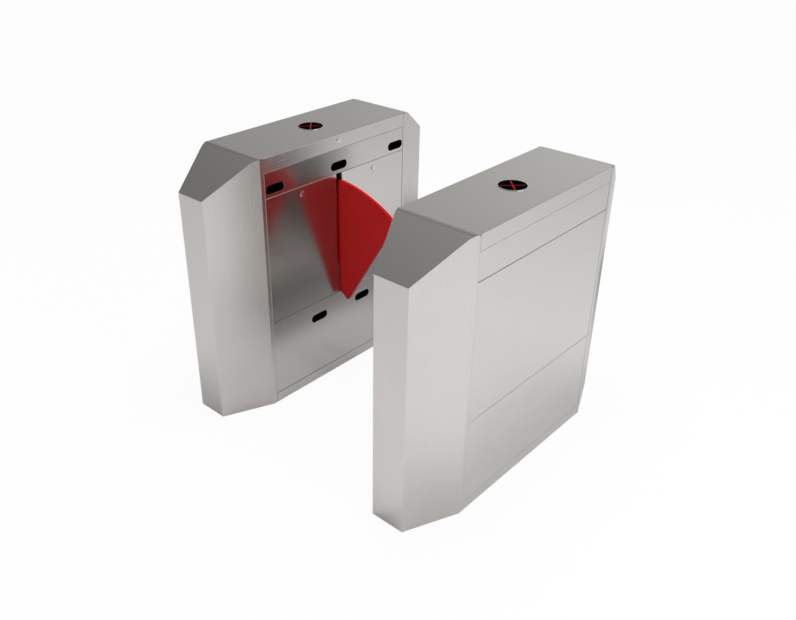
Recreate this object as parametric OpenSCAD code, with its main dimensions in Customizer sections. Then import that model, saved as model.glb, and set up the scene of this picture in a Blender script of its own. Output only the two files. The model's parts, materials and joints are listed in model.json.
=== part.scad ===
/* [Lane and cabinets] */
// Clear width of the passage between the two cabinets
lane_w = 600; // [560:10:900]
// Width of one cabinet
cab_w = 285; // [280:5:330]
// Length of one cabinet in walking direction
cab_l = 1120; // [1080:10:1400]
// Height of one cabinet
cab_h = 980; // [960:5:1050]
// Thickness of the stainless sheet
sheet_t = 1.5; // [1.2:0.1:2]
// Open joint between two neighbouring panels
seam = 1; // [0.8:0.1:1.4]
// Outer radius of a folded edge
bend_r = 3; // [2.4:0.2:5]

/* [Cabinet ends] */
// Width of the narrow face at each end
end_face_w = 125; // [110:5:150]
// Height of the narrow face, where the slope starts
end_face_h = 865; // [840:5:880]
// Distance that each chamfer takes along the side
chamfer_l = 190; // [170:5:200]
// Distance that the slope takes along the top, crease included
slope_l = 195; // [180:5:205]
// Radius of the crease between slope and top
crease_r = 70; // [50:5:80]
// Width of the end cap's strip that wraps onto the side
strip_w = 14; // [10:1:18]

/* [Side panels] */
// Height of the plinth
plinth_h = 40; // [30:2:60]
// Height of the lower panel
lower_h = 307; // [300:1:312]
// Height of the sensor band
band_h = 92; // [80:1:110]
// Height of the lid with its side flanges
lid_h = 52; // [48:1:60]
// Open joint above the large panel of the outer side, which lifts out
lift_gap = 4; // [2:0.5:6]
// Depth of the lips folded inwards round a panel
lip_d = 12; // [9:0.5:12.5]

/* [Sensor windows] */
// Length of a window
window_l = 82; // [70:1:86]
// Height of a window
window_h = 32; // [26:1:36]
// Thickness of the flange that holds a lens behind the sheet
lens_t = 1.5; // [1:0.5:3]
// Distance of the outer windows' centres from the ends of the band
window_in = 46; // [46:2:120]
// Height of the window centres above the lower edge of the band
window_up = 29; // [24:1:40]
// Distance of the lower windows from the middle of the cabinet
low_window_pitch = 120; // [110:5:200]
// Depth of the lower windows below the upper edge of their panel
low_window_down = 67; // [50:1:90]

/* [Slot and flap] */
// Width of the slot that the flap swings through
slot_w = 28; // [24:1:34]
// Thickness of the flap
flap_t = 12; // [8:1:12]
// Depth of the flap's shaft behind the passage side
pivot_in = 30; // [29:0.5:33]
// Height of the flap's shaft
pivot_h = 270; // [262:1:275]
// Gap that the closed flaps leave between them
flap_gap = 71; // [65:1:180]
// How far the leading edge stands proud of the slot when open
lead_proud = 6; // [3:1:12]
// Gap between the flap's arc and the upper end of the slot
flap_top_gap = 23; // [15:1:60]
// Gap between the flap's foot and the lower end of the slot
flap_foot_gap = 3; // [2:0.5:6]
// Gap between the open flap and the outer panel
flap_wall_gap = 4; // [3:0.5:15]
// Radius of the flap's far corner
far_r = 42; // [20:1:60]
// Radius of the flap's lower tip
tip_r = 10; // [6:0.5:14]
// Radius of the flap's inner upper corner
trail_r = 12; // [8:1:16]

/* [Drive] */
// Diameter of the flap's shaft
shaft_d = 20; // [16:1:22]
// Thickness of each cheek plate that clamps the flap
cheek_t = 4; // [3:0.5:5]
// Length of the cheek plates above the shaft
cheek_l = 190; // [150:5:230]
// Clear distance between the plates of the mechanism frame
frame_gap = 80; // [76:2:90]
// Thickness of those plates
frame_t = 5; // [4:0.5:8]
// Height of those plates
frame_h = 334; // [330:1:338]
// Module of the gear teeth
gear_m = 2.5; // [2.2:0.1:2.7]
// Teeth that the sector would have as a full wheel
sector_n = 72; // [64:2:76]
// Teeth of the pinion
pinion_n = 18; // [17:1:20]
// Width of the gears
gear_w = 10; // [8:1:12]
// Diameter of the motor's gearbox
gearbox_d = 60; // [50:2:70]
// Diameter of the motor
motor_d = 54; // [40:2:60]
// Length of the gearbox
gearbox_l = 48; // [30:2:70]
// Length of the motor
motor_l = 72; // [50:2:100]

/* [Lid, doors and locks] */
// Diameter of the lamp's lens
lamp_d = 90; // [70:2:100]
// Width of the lamp's ring
ring_w = 3; // [2:0.5:6]
// Distance that the arms of the lamp's cross stay inside the lens's rim
cross_in = 5; // [3:1:12]
// Width of each arm of the cross
cross_w = 5; // [4:0.5:10]
// Diameter of a lock's face
lock_d = 21; // [19:0.5:26]
// Diameter of the plug that the key turns
plug_d = 12; // [10:0.5:13]
// Height of the lid's lock above the lower edge of the lid
lid_lock_up = 28; // [24:1:30]
// Depth of the door locks below the upper edge of the door
door_lock_down = 28; // [24:1:32]
// Depth that a door's cam reaches behind the band
cam_grip = 8; // [5:0.5:12]
// Height of the lid's hinge pins above the lower edge of the lid
hinge_up = 22; // [20:1:26]
// Diameter of a hinge pin
hinge_d = 5; // [4:0.5:6]
// Distance of the lid's hinges from the middle
hinge_pitch = 240; // [150:5:280]

/* [Frame, base and contents] */
// Width of the frame's square tubes
tube_w = 20; // [18:1:22]
// Wall of those tubes
tube_t = 1.5; // [1:0.5:3]
// Thickness of the base plate
base_t = 5; // [4:0.5:8]
// Distance between the anchor holes across the cabinet
anchor_x = 180; // [160:5:190]
// Distance between the anchor holes along the cabinet
anchor_y = 600; // [500:10:620]
// Diameter of the anchor holes
anchor_d = 14; // [10:1:18]
// Diameter of the cable entry
entry_d = 50; // [30:2:60]
// Width of the control board
board_w = 130; // [80:5:150]
// Height of the control board
board_h = 160; // [80:5:180]
// Width, depth and height of the power supply
supply_w = 120; // [80:5:150]
supply_d = 42; // [30:2:50]
supply_h = 110; // [80:5:150]

/* [Hidden] */
$fn = 64;
SIDES = ["left", "right"];
SIDE_PARTS = ["base_frame", "front_cap", "rear_cap", "frame", "sensor_band", "lower_panel",
    "outer_panel", "mechanism_frame", "flap", "flap_arm", "sector_gear", "pinion",
    "lid", "lamp_bezel", "lamp_lens", "lamp_cross", "lid_barrel", "lid_lock",
    "front_door", "front_barrel", "front_lock", "rear_door", "rear_barrel", "rear_lock"];
PAIR_PARTS = ["outer_bands", "outer_lower_panels", "sensor_lenses", "sensor_modules",
    "shaft_bearings", "stop_buffers", "gear_motors", "control_boards", "power_supplies",
    "cable_glands", "lid_hinges", "foot_screws"];

// Overrun of every cut past the face that it opens
over = 2;
// Clearance between fixed pieces that sit against each other
seat = 0.3;
// Radial clearance of a shaft or plug that turns in its bore
run = 0.05;
// Steps that a rounded corner of an outline takes
corner_steps = 4;
// Steps that a long arc of an outline takes
arc_steps = 40;

// Heights of the horizontal joints, from the floor up
low_z0 = plinth_h + seam;
low_z1 = low_z0 + lower_h;
door_z0 = low_z1 + seam;
lid_z0 = cab_h - lid_h;
band_z1 = lid_z0 - seam;
band_z0 = band_z1 - band_h;
door_z1 = band_z0 - seam;
// Top of the end cap's strips, low enough for the lid to turn above them
strip_z1 = cab_h - sheet_t - 2 * seam;

// Half length of the panels between the end caps
panel_y = cab_l / 2 - chamfer_l - strip_w;
// End of the cap's strips, measured from the end of the cabinet
cap_l = chamfer_l + strip_w - seam;
// Half length of the lid's top
lid_y = cab_l / 2 - slope_l - seam / 2;
// Inset of the narrow end face from the side of the cabinet
end_in = (cab_w - end_face_w) / 2;
// Angle of the sloped top, tangent to the crease
crease_rise = cab_h - crease_r - end_face_h;
slope_a = atan2(crease_rise, slope_l) + asin(crease_r / norm([slope_l, crease_rise]));
// Height of the cap's lip under the edge of the lid
cap_lip_h = 15;

// Place of the doors' inner edges and of their locks
door_y0 = slot_w / 2;
door_mid = (door_y0 + panel_y) / 2;

// Flap, in a frame with the shaft at zero, first axis towards the lane and second axis up,
// and with the leading edge upright as it stands when open
lead_off = pivot_in + lead_proud;
flap_r = band_z0 - flap_top_gap - pivot_h;
foot_r = norm([pivot_in, low_z1 - pivot_h]) + flap_foot_gap;
root_r = pivot_in - sheet_t - 2 * seat;
trail_off = cab_w - sheet_t - flap_wall_gap - pivot_in;
far_c = [lead_off - far_r, sqrt(pow(flap_r - far_r, 2) - pow(lead_off - far_r, 2))];
tip_c = [lead_off - tip_r, sqrt(pow(foot_r + tip_r, 2) - pow(lead_off - tip_r, 2))];
trail_c = [trail_r - trail_off, sqrt(pow(flap_r - trail_r, 2) - pow(trail_off - trail_r, 2))];
// Swing from closed, where the far corner leaves half the gap to the other flap, to open
far_reach = lane_w / 2 - flap_gap / 2 + pivot_in - far_r;
swing = atan2(far_c.y, far_c.x) - acos(far_reach / norm(far_c));
// Radius of the hub and of the hole that it fills in the flap
hub_wall = 6;
hub_r = shaft_d / 2 + hub_wall;
// Half thickness of the clamped stack, flap and both cheeks
stack_y = flap_t / 2 + cheek_t;
// Half length of the hub
hub_end = 6;
hub_y = stack_y + hub_end;

// Gears
sector_r = gear_m * sector_n / 2;
pinion_r = gear_m * pinion_n / 2;
pinion_x = pivot_in + sector_r + pinion_r;
pressure_a = 20;
// Play between the flanks of the teeth
backlash = 0.25;
// The sector reaches past the teeth that the swing uses, on both sides
sector_spare = 8;
sector_lo = -sector_spare;
sector_hi = swing + sector_spare;
gear_gap = 3;
gear_y0 = hub_y + gear_gap;
gear_y1 = gear_y0 + gear_w;
// Rims beside the teeth, which hold them to the hub of the sector and the pinion
gear_rim = 2;
pinion_shaft_r = 6;
// Depth of the output shaft's seat in the gearbox, and the gap at its bottom
shaft_seat = 10;
shaft_seat_gap = 1;

// Mechanism frame
plate_y0 = frame_gap / 2;
plate_y1 = plate_y0 + frame_t;
plate_gap = 2;
plate_margin = 12;
plate_x0 = lip_d + plate_gap;
plate_x1 = pinion_x + gearbox_d / 2 + plate_margin;
// Gaps round the shaft and the pinion where they pass through the plates
shaft_gap = 2;
pinion_gap = 4;
foot_d = 26;
bearing_gap = 3;
bearing_r = pivot_in - sheet_t - bearing_gap;
bearing_w = 12;
shaft_end = 3;
screw_d = 8;
screw_in = 25;
screw_x = [plate_x0 + screw_in, plate_x1 - screw_in];
screw_y = plate_y0 - foot_d / 2;

// Rubber buffers that stop the sector at both ends of the swing
buffer_r = 7;
buffer_l = 10;
buffer_in = 28;
buffer_at = sector_r - buffer_in;
block_l = 12;
block_side = 1;
buffer_y = (gear_y0 + gear_y1) / 2;

// Frame of square tubes
tube_x = lip_d + seat;
post_z0 = base_t + seat / 2;
rail_gap = 2;
rail_z1 = band_z1 - rail_gap;
rail_z0 = rail_z1 - tube_w;
post_z1 = rail_z0 - seat / 2;
corner_y = panel_y - tube_w;
slot_post_gap = 5;
slot_post_y = plate_y1 + bearing_w + slot_post_gap;
// Plate that carries the control board and the power supply
rack_t = 2;
rack_in = 83;
rack_gap = 25;
rack_margin = 10;
rack_x = cab_w - rack_in;
rack_y0 = tube_w + rack_gap - panel_y;
rack_y1 = rack_y0 + board_w + 2 * rack_margin;
rack_h = 480;
rack_foot = 30;
board_t = 1.6;
standoff_l = 8;
standoff_r = 3;
board_z = 280;
supply_z = 90;
entry_x = cab_w / 3;
entry_y = -cab_l / 5;

// Locks
cam_t = 2;
cam_w = 12;
cam_gap = 3;
cam_rim = 1;
cam_x = lip_d + cam_gap;
door_cam_l = door_lock_down + seam + cam_grip;
lid_cam_l = lid_lock_up + seam;
barrel_wall = 2.5;
barrel_r = plug_d / 2 + barrel_wall;
face_t = 2.2;
face_chamfer = 1.2;
key_w = 1.6;
key_l = 7;
lid_lock_z = lid_z0 + lid_lock_up;
door_lock_z = door_z1 - door_lock_down;
catch_t = 2;
catch_w = 26;
catch_gap = 3;
catch_z = lid_lock_z + cam_w / 2 + catch_gap;

// Hinges of the lid
hinge_in = 8;
hinge_x = cab_w - hinge_in;
hinge_z = lid_z0 + hinge_up;
// How far the lower edge of the lid's outer flange dips as it turns in
flange_drop = norm([hinge_in, hinge_up]) - hinge_up;
knuckle_wall = 2.5;
knuckle_r = hinge_d / 2 + knuckle_wall;
knuckle_w = 20;
leaf_t = 3;

// Lamp
ring_t = 1;
lens_h = 6;
groove_t = 1.2;
cup_h = 24;
cup_t = 2;
cross_l = lamp_d - 2 * cross_in;

// Colours
STEEL = [0.72, 0.71, 0.70];
DARK_STEEL = [0.45, 0.45, 0.46];
CHROME = [0.85, 0.86, 0.88];
BLACK = [0.03, 0.03, 0.04];
RED = [0.62, 0.05, 0.05];
LIT_RED = [0.9, 0.05, 0.05];
RUBBER = [0.12, 0.12, 0.12];
BOARD_GREEN = [0.08, 0.3, 0.16];
BRASS = [0.72, 0.6, 0.3];

// Point at distance r and angle a, clockwise from straight up
function polar(r, a) = r * [sin(a), cos(a)];

// Points on an arc round c, angles clockwise from straight up
function arc(c, r, a0, a1, steps) =
    [for (i = [0:steps]) c + polar(r, a0 + (a1 - a0) * i / steps)];

function unit(v) = v / norm(v);

// The angle of a vector, clockwise from straight up
function heading(v) = atan2(v.x, v.y);

// The points of one corner at b, between a and c, rounded with radius r
function corner(a, b, c, r) =
    let (
        to_a = unit(a - b),
        to_c = unit(c - b),
        half = acos(to_a * to_c) / 2,
        mid = b + unit(to_a + to_c) * r / sin(half),
        start = unit(b + to_a * r / tan(half) - mid),
        end = unit(b + to_c * r / tan(half) - mid),
        turn = 180 - 2 * half
    )
    [for (i = [0:corner_steps]) let (f = i / corner_steps)
        mid + r * (sin((1 - f) * turn) * start + sin(f * turn) * end) / sin(turn)];

// Outline of the cabinet's end, seen from above, pulled in by t on every side
// First axis is across the cabinet, second axis is the distance from its end
function end_outline(t, length) =
    let (
        run_l = norm([end_in, chamfer_l]),
        nx = chamfer_l / run_l,
        ny = end_in / run_l,
        side_y = (nx * end_in + t - nx * t) / ny,
        face_x = (nx * end_in + t - ny * t) / nx
    )
    [[t, length], [t, side_y], [face_x, t], [cab_w - face_x, t], [cab_w - t, side_y],
        [cab_w - t, length]];

// The same outline with its four vertical folds rounded
function end_rounded(t, length) =
    let (p = end_outline(t, length), r = bend_r - t)
    [p[0], each corner(p[0], p[1], p[2], r), each corner(p[1], p[2], p[3], r),
        each corner(p[2], p[3], p[4], r), each corner(p[3], p[4], p[5], r), p[5]];

// Places one cabinet's pieces: drawn with the passage side at zero and the cabinet towards +X
module on_side(s) {
    if (s == "right") translate([lane_w / 2, 0, 0]) children();
    else mirror([1, 0, 0]) translate([lane_w / 2, 0, 0]) children();
}

module on_both() {
    for (s = SIDES) on_side(s) children();
}

// Box between two corners
module box(a, b) {
    translate(a) cube(b - a);
}

// Extrudes a shape drawn in [y, z] along X, from x0 to x1
module along_x(x0, x1) {
    translate([x0, 0, 0]) rotate([90, 0, 90]) linear_extrude(x1 - x0) children();
}

// Extrudes a shape drawn in [x, z] along Y, from y0 to y1
module along_y(y0, y1) {
    translate([0, y1, 0]) rotate([90, 0, 0]) linear_extrude(y1 - y0) children();
}

// Round bar or bore along X
module bar_x(x0, x1, y, z, r) {
    translate([x0, y, z]) rotate([0, 90, 0]) cylinder(h = x1 - x0, r = r);
}

// Round bar or bore along Y
module bar_y(y0, y1, x, z, r) {
    translate([x, y1, z]) rotate([90, 0, 0]) cylinder(h = y1 - y0, r = r);
}

// Oblong with round ends, drawn in [y, z], centred on y and z
module oblong(y, z, length, height) {
    translate([y, z]) {
        square([length - height, height], center = true);
        for (k = [-1, 1]) translate([k * (length - height) / 2, 0]) circle(d = height);
    }
}

// Round ends r0 and r1 at p0 and p1, joined by their tangents
module link(p0, r0, p1, r1) {
    h = heading(p1 - p0);
    a = acos((r0 - r1) / norm(p1 - p0));
    translate(p0) circle(r = r0);
    translate(p1) circle(r = r1);
    polygon([p0 + polar(r0, h - a), p1 + polar(r1, h - a), p1 + polar(r1, h + a),
        p0 + polar(r0, h + a)]);
}

// Flat panel in the plane x = 0, with lips folded in on the sides that are asked for
module panel(y0, y1, z0, z1, lips = [1, 1, 1, 1]) {
    box([0, y0, z0], [sheet_t, y1, z1]);
    if (lips[0]) box([0, y0, z0], [lip_d, y0 + sheet_t, z1]);
    if (lips[1]) box([0, y1 - sheet_t, z0], [lip_d, y1, z1]);
    if (lips[2]) box([0, y0, z0], [lip_d, y1, z0 + sheet_t]);
    if (lips[3]) box([0, y0, z1 - sheet_t], [lip_d, y1, z1]);
}

// Turns a piece drawn for the passage side into one for the outer side
module outer_side() {
    translate([cab_w, 0, 0]) mirror([1, 0, 0]) children();
}

// Openings of the sensor windows through a panel
module window_cuts(places) {
    for (p = places) along_x(-over, sheet_t + over) oblong(p.x, p.y, window_l, window_h);
}

band_windows = [for (k = [-1:1]) [k * (panel_y - window_in), band_z0 + window_up]];
low_windows = [for (k = [-1, 1]) [k * low_window_pitch, low_z1 - low_window_down]];

// Base plate with anchor holes, cable entry and the plinth on both sides
module base_frame() {
    inset = sheet_t + seat;
    ends = end_outline(inset, cab_l / 2);
    plate = concat([for (p = ends) [p.x, p.y - cab_l / 2]],
        [for (i = [len(ends) - 1:-1:0]) [ends[i].x, cab_l / 2 - ends[i].y]]);
    color(STEEL) difference() {
        union() {
            linear_extrude(base_t) polygon(plate);
            box([0, -panel_y, 0], [cab_w, panel_y, base_t]);
            panel(-panel_y, panel_y, 0, plinth_h, [0, 0, 0, 1]);
            outer_side() panel(-panel_y, panel_y, 0, plinth_h, [0, 0, 0, 1]);
        }
        for (i = [-1, 1], k = [-1, 1])
            translate([cab_w / 2 + i * anchor_x / 2, k * anchor_y / 2, -over])
                cylinder(h = base_t + 2 * over, d = anchor_d);
        translate([entry_x, entry_y, -over]) cylinder(h = base_t + 2 * over, d = entry_d);
        foot_screw_places() translate([0, 0, -over])
            cylinder(h = base_t + 2 * over, r = screw_d / 2 + seat);
    }
}

// Side view of the end cap, first axis the distance from the end, pulled in by t
module cap_profile(t) {
    mid = [slope_l, cab_h - crease_r];
    top = mid + (crease_r - t) * [-sin(slope_a), cos(slope_a)];
    face_z = top.y - (top.x - t) * tan(slope_a);
    polygon([[t, -over], [t, face_z], top, mid, [slope_l, -over]]);
    intersection() {
        translate(mid) circle(r = crease_r - t, $fn = 128);
        translate([top.x, mid.y]) square([slope_l - top.x, crease_r]);
    }
}

// Folded end cap: narrow face, chamfers, slope, crease, side strips and their lips
module end_cap() {
    color(STEEL) translate([0, -cab_l / 2, 0]) {
        difference() {
            intersection() {
                linear_extrude(cab_h) polygon(end_rounded(0, cap_l));
                along_x(-over, cab_w + over) {
                    cap_profile(0);
                    translate([slope_l - over, 0]) square([cap_l - slope_l + over, strip_z1]);
                }
            }
            intersection() {
                translate([0, 0, -over]) linear_extrude(cab_h + 2 * over)
                    polygon(end_rounded(sheet_t, cap_l + over));
                along_x(-over, cab_w + over) {
                    intersection() {
                        cap_profile(sheet_t);
                        translate([0, -over]) square([slope_l - sheet_t, cab_h + over]);
                    }
                    translate([slope_l - over, -over])
                        square([cap_l - slope_l + 2 * over, cab_h - cap_lip_h + over]);
                    translate([slope_l, 0]) square([cap_l - slope_l + over, cab_h + over]);
                }
            }
        }
        for (x = [0, cab_w - lip_d])
            box([x, cap_l - sheet_t, base_t + seat], [x + lip_d, cap_l, strip_z1]);
    }
}

module rear_end_cap() {
    mirror([0, 1, 0]) end_cap();
}

// Square tube along X, Y or Z between two corners
module tube(a, b, axis) {
    wall = [for (i = [0:2]) i == axis ? -over : tube_t];
    difference() {
        box(a, b);
        box(a + wall, b - wall);
    }
}

// Posts, rails and cross members, the equipment plate and the catch of the lid's lock
module frame() {
    rail_y = corner_y + tube_w;
    color(DARK_STEEL) {
        for (x = [tube_x, cab_w - tube_x - tube_w]) {
            for (y = [-rail_y, corner_y])
                tube([x, y, post_z0], [x + tube_w, y + tube_w, post_z1], 2);
            tube([x, -rail_y, rail_z0], [x + tube_w, rail_y, rail_z1], 1);
        }
        for (y = [-slot_post_y - tube_w, slot_post_y])
            tube([tube_x, y, post_z0], [tube_x + tube_w, y + tube_w, post_z1], 2);
        for (y = [-rail_y, corner_y])
            tube([tube_x + tube_w + seat / 2, y, rail_z0],
                [cab_w - tube_x - tube_w - seat / 2, y + tube_w, rail_z1], 0);
        box([rack_x, rack_y0, post_z0], [rack_x + rack_t, rack_y1, rack_h]);
        box([rack_x - rack_foot, rack_y0, post_z0],
            [rack_x - seat / 2, rack_y1, post_z0 + rack_t]);
        lid_catch();
    }
}

// Bracket on the passage side rail that the lid's cam turns under
module lid_catch() {
    x1 = cam_x + cam_t + cam_gap + catch_t;
    y0 = barrel_r + catch_gap;
    box([x1, y0, rail_z1 + seat / 2], [x1 + catch_t, y0 + catch_w, catch_z + catch_t]);
    box([cam_x - catch_t, y0, catch_z], [x1 + catch_t, y0 + catch_w, catch_z + catch_t]);
}

// Band with three windows above the doors
module sensor_band() {
    color(STEEL) difference() {
        panel(-panel_y, panel_y, band_z0, band_z1);
        window_cuts(band_windows);
    }
}

// Lower panel with two windows, its upper lip open under the slot
module lower_panel() {
    color(STEEL) difference() {
        panel(-panel_y, panel_y, low_z0, low_z1);
        window_cuts(low_windows);
        box([sheet_t, -slot_w / 2, low_z1 - 2 * sheet_t],
            [lip_d + over, slot_w / 2, low_z1 + over]);
    }
}

// The band of the outer side has no upper lip and lower end lips, because the lid's flange
// turns in above them
module outer_bands() {
    color(STEEL) on_both() outer_side() difference() {
        panel(-panel_y, panel_y, band_z0, band_z1, [1, 1, 1, 0]);
        box([sheet_t, -panel_y - over, lid_z0 - flange_drop - seat],
            [lip_d + over, panel_y + over, band_z1 + over]);
    }
}

// The large panel of the outer side hangs low enough to be lifted off the lower one
module outer_panel() {
    color(STEEL) outer_side() panel(-panel_y, panel_y, door_z0, band_z0 - lift_gap);
}

module outer_lower_panels() {
    color(STEEL) on_both() outer_side() panel(-panel_y, panel_y, low_z0, low_z1);
}

// Dark lenses: the front fills the window, the flange sits behind the sheet
module sensor_lenses() {
    rim = 5;
    color(BLACK) on_both() for (p = concat(band_windows, low_windows)) {
        along_x(seat, sheet_t + seat + lens_t)
            oblong(p.x, p.y, window_l - 2 * seat, window_h - 2 * seat);
        along_x(sheet_t + seat, sheet_t + seat + lens_t)
            oblong(p.x, p.y, window_l + rim, window_h + rim);
    }
}

// Light barrier modules behind the lenses
module sensor_modules() {
    module_l = 40;
    module_h = 22;
    module_d = 16;
    eye_r = 5;
    eye_h = 2;
    x0 = sheet_t + lens_t + 2 * seat;
    color(RUBBER) on_both() for (p = concat(band_windows, low_windows)) {
        box([x0 + eye_h, p.x - module_l / 2, p.y - module_h / 2],
            [x0 + module_d, p.x + module_l / 2, p.y + module_h / 2]);
        for (k = [-1, 1])
            bar_x(x0, x0 + eye_h + seat, p.x + k * module_l / 4, p.y, eye_r);
    }
}

// Frame of the drive: two upright plates with feet, and the blocks that hold the buffers
module mechanism_frame() {
    color(DARK_STEEL) {
        for (k = [0, 1]) mirror([0, k, 0]) difference() {
            union() {
                box([plate_x0, plate_y0, post_z0], [plate_x1, plate_y1, frame_h]);
                box([plate_x0, plate_y0 - foot_d, post_z0],
                    [plate_x1, plate_y1, post_z0 + frame_t]);
            }
            bar_y(plate_y0 - over, plate_y1 + over, pivot_in, pivot_h,
                shaft_d / 2 + shaft_gap);
            foot_screw_places() translate([0, 0, -over])
                cylinder(h = post_z0 + frame_t + 2 * over, r = screw_d / 2 + seat);
            if (k == 0)
                bar_y(plate_y0 - over, plate_y1 + over, pinion_x, pivot_h,
                    pinion_r + pinion_gap);
        }
        buffer_places()
            box([buffer_at - block_l / 2, gear_y0 - block_side, buffer_l + 2 * seat],
                [buffer_at + block_l / 2, plate_y0 - seat / 2,
                    buffer_l + 2 * seat + block_l]);
    }
}

// Frames of the two buffers: first axis outwards along the sector's edge, third axis away
// from the sector where it stops
module buffer_places() {
    translate([pivot_in, 0, pivot_h]) {
        rotate([0, -sector_hi, 0]) children();
        rotate([0, swing - sector_lo, 0]) mirror([0, 0, 1]) children();
    }
}

module stop_buffers() {
    color(RUBBER) on_both() buffer_places()
        translate([buffer_at, buffer_y, seat]) cylinder(h = buffer_l, r = buffer_r);
}

module foot_screw_places() {
    for (x = screw_x, k = [-1, 1]) translate([x, k * screw_y, 0]) children();
}

// Hexagon screws that hold the mechanism frame down
module foot_screws() {
    head_h = 5;
    top = post_z0 + frame_t + seat / 2;
    color(CHROME) on_both() foot_screw_places() {
        translate([0, 0, top]) cylinder(h = head_h, r = screw_d * 0.8, $fn = 6);
        translate([0, 0, seat]) cylinder(h = top, r = screw_d / 2);
    }
}

// Flange bearings on the outside of the mechanism frame
module shaft_bearings() {
    color(CHROME) on_both() for (k = [0, 1]) mirror([0, k, 0]) difference() {
        union() {
            bar_y(plate_y1 + seat / 2, plate_y1 + bearing_w / 2, pivot_in, pivot_h, bearing_r);
            bar_y(plate_y1 + bearing_w / 2 - seat, plate_y1 + bearing_w, pivot_in, pivot_h,
                bearing_r * 0.75);
        }
        bar_y(plate_y1 - over, plate_y1 + bearing_w + over, pivot_in, pivot_h,
            shaft_d / 2 + run);
    }
}

// Outline of the flap with the leading edge upright, round the shaft
function flap_outline() =
    let (
        top_a0 = heading(trail_c),
        top_a1 = heading(far_c),
        tip_a = heading(tip_c),
        root_a = asin(root_r / foot_r) - swing,
        back_a = acos((root_r - trail_r) / norm(trail_c)),
        back_h = heading(trail_c) - back_a
    )
    concat(
        arc([0, 0], flap_r, top_a0, top_a1, arc_steps),
        arc(far_c, far_r, top_a1, 90, 3 * corner_steps),
        arc(tip_c, tip_r, 90, 180 + tip_a, 2 * corner_steps),
        arc([0, 0], foot_r, tip_a, root_a, 2 * corner_steps),
        arc([0, 0], root_r, 90 - swing, 360 + back_h, arc_steps / 2),
        arc(trail_c, trail_r, 360 + back_h, 360 + top_a0, corner_steps)
    );

// Places a shape drawn round the shaft, towards the lane and up, in the closed pose
module flap_frame() {
    translate([pivot_in, pivot_h]) mirror([1, 0]) rotate(-swing) children();
}

// Bolts that clamp the flap between the cheeks, along the cheeks
bolt_share = [0.42, 0.68, 0.92];
cheek_r0 = root_r - seat;
cheek_r1 = 11;
cheek_end = [root_r - cheek_r1 - seat, cheek_l];
bolt_r = 3;
bolt_end = 3;

module bolt_holes(r) {
    for (f = bolt_share) translate(cheek_end * f) circle(r = r);
}

module flap() {
    color(RED) along_y(-flap_t / 2, flap_t / 2) difference() {
        flap_frame() polygon(flap_outline());
        translate([pivot_in, pivot_h]) {
            circle(r = hub_r + seat);
            mirror([1, 0]) bolt_holes(bolt_r + seat);
        }
    }
}

// Welded arm: shaft, hub and two cheek plates, with the bolts that clamp the flap
module flap_arm() {
    color(DARK_STEEL) {
        bar_y(-plate_y1 - bearing_w - shaft_end, plate_y1 + bearing_w + shaft_end,
            pivot_in, pivot_h, shaft_d / 2);
        bar_y(-hub_y, hub_y, pivot_in, pivot_h, hub_r);
        for (k = [0, 1]) mirror([0, k, 0])
            along_y(flap_t / 2 + seat / 2, stack_y) translate([pivot_in, pivot_h])
                mirror([1, 0]) link([0, 0], cheek_r0, cheek_end, cheek_r1);
        along_y(-stack_y - bolt_end, stack_y + bolt_end) translate([pivot_in, pivot_h])
            mirror([1, 0]) bolt_holes(bolt_r);
    }
}

// Angle in degrees that an involute has turned where it has left its base circle by a
function involute(a) = tan(a) * 180 / PI - a;

// One tooth's outline for a wheel with n teeth, centred on the first axis
function tooth(n) =
    let (
        pitch = gear_m * n / 2,
        base = pitch * cos(pressure_a),
        tip = pitch + gear_m,
        root = pitch - 1.25 * gear_m,
        half = 90 / n - backlash / 4 / pitch * 180 / PI + involute(pressure_a),
        radii = [for (i = [0:5]) let (f = i / 5) max(base, root) * (1 - f) + tip * f],
        flank = [for (r = radii) let (a = half - involute(acos(min(1, base / r))))
            r * [cos(a), sin(a)]],
        inner = (root - gear_m / 4) * [cos(half), sin(half)]
    )
    concat([[inner.x, -inner.y]], [for (p = flank) [p.x, -p.y]],
        [for (i = [5:-1:0]) flank[i]], [inner]);

// Toothed sector on the shaft, drawn round the shaft with the first axis to the pinion
module sector_shape() {
    pitch_a = 360 / sector_n;
    root = sector_r - 1.25 * gear_m;
    first = ceil(sector_lo / pitch_a + 0.5);
    last = floor(sector_hi / pitch_a - 0.5);
    difference() {
        union() {
            polygon(concat([[0, 0]], [for (i = [0:arc_steps])
                let (a = sector_lo + (sector_hi - sector_lo) * i / arc_steps)
                root * [cos(a), sin(a)]]));
            for (i = [first:last]) rotate(i * pitch_a) polygon(tooth(sector_n));
            circle(r = hub_r + gear_rim);
        }
        circle(r = shaft_d / 2 + run);
    }
}

module sector_gear() {
    color(BRASS) along_y(gear_y0, gear_y1)
        translate([pivot_in, pivot_h]) sector_shape();
}

// Pinion and output shaft, a gap between two teeth facing the sector
module pinion() {
    color(BRASS) {
        along_y(gear_y0, gear_y1) translate([pinion_x, pivot_h])
            for (i = [0:pinion_n - 1]) rotate(180 + (i + 0.5) * 360 / pinion_n)
                polygon(tooth(pinion_n));
        bar_y(gear_y0 - gear_rim, gear_y1 + gear_rim, pinion_x, pivot_h,
            pinion_r - 1.25 * gear_m);
        bar_y(gear_y1, plate_y1 + shaft_seat - shaft_seat_gap, pinion_x, pivot_h,
            pinion_shaft_r);
    }
}

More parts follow.
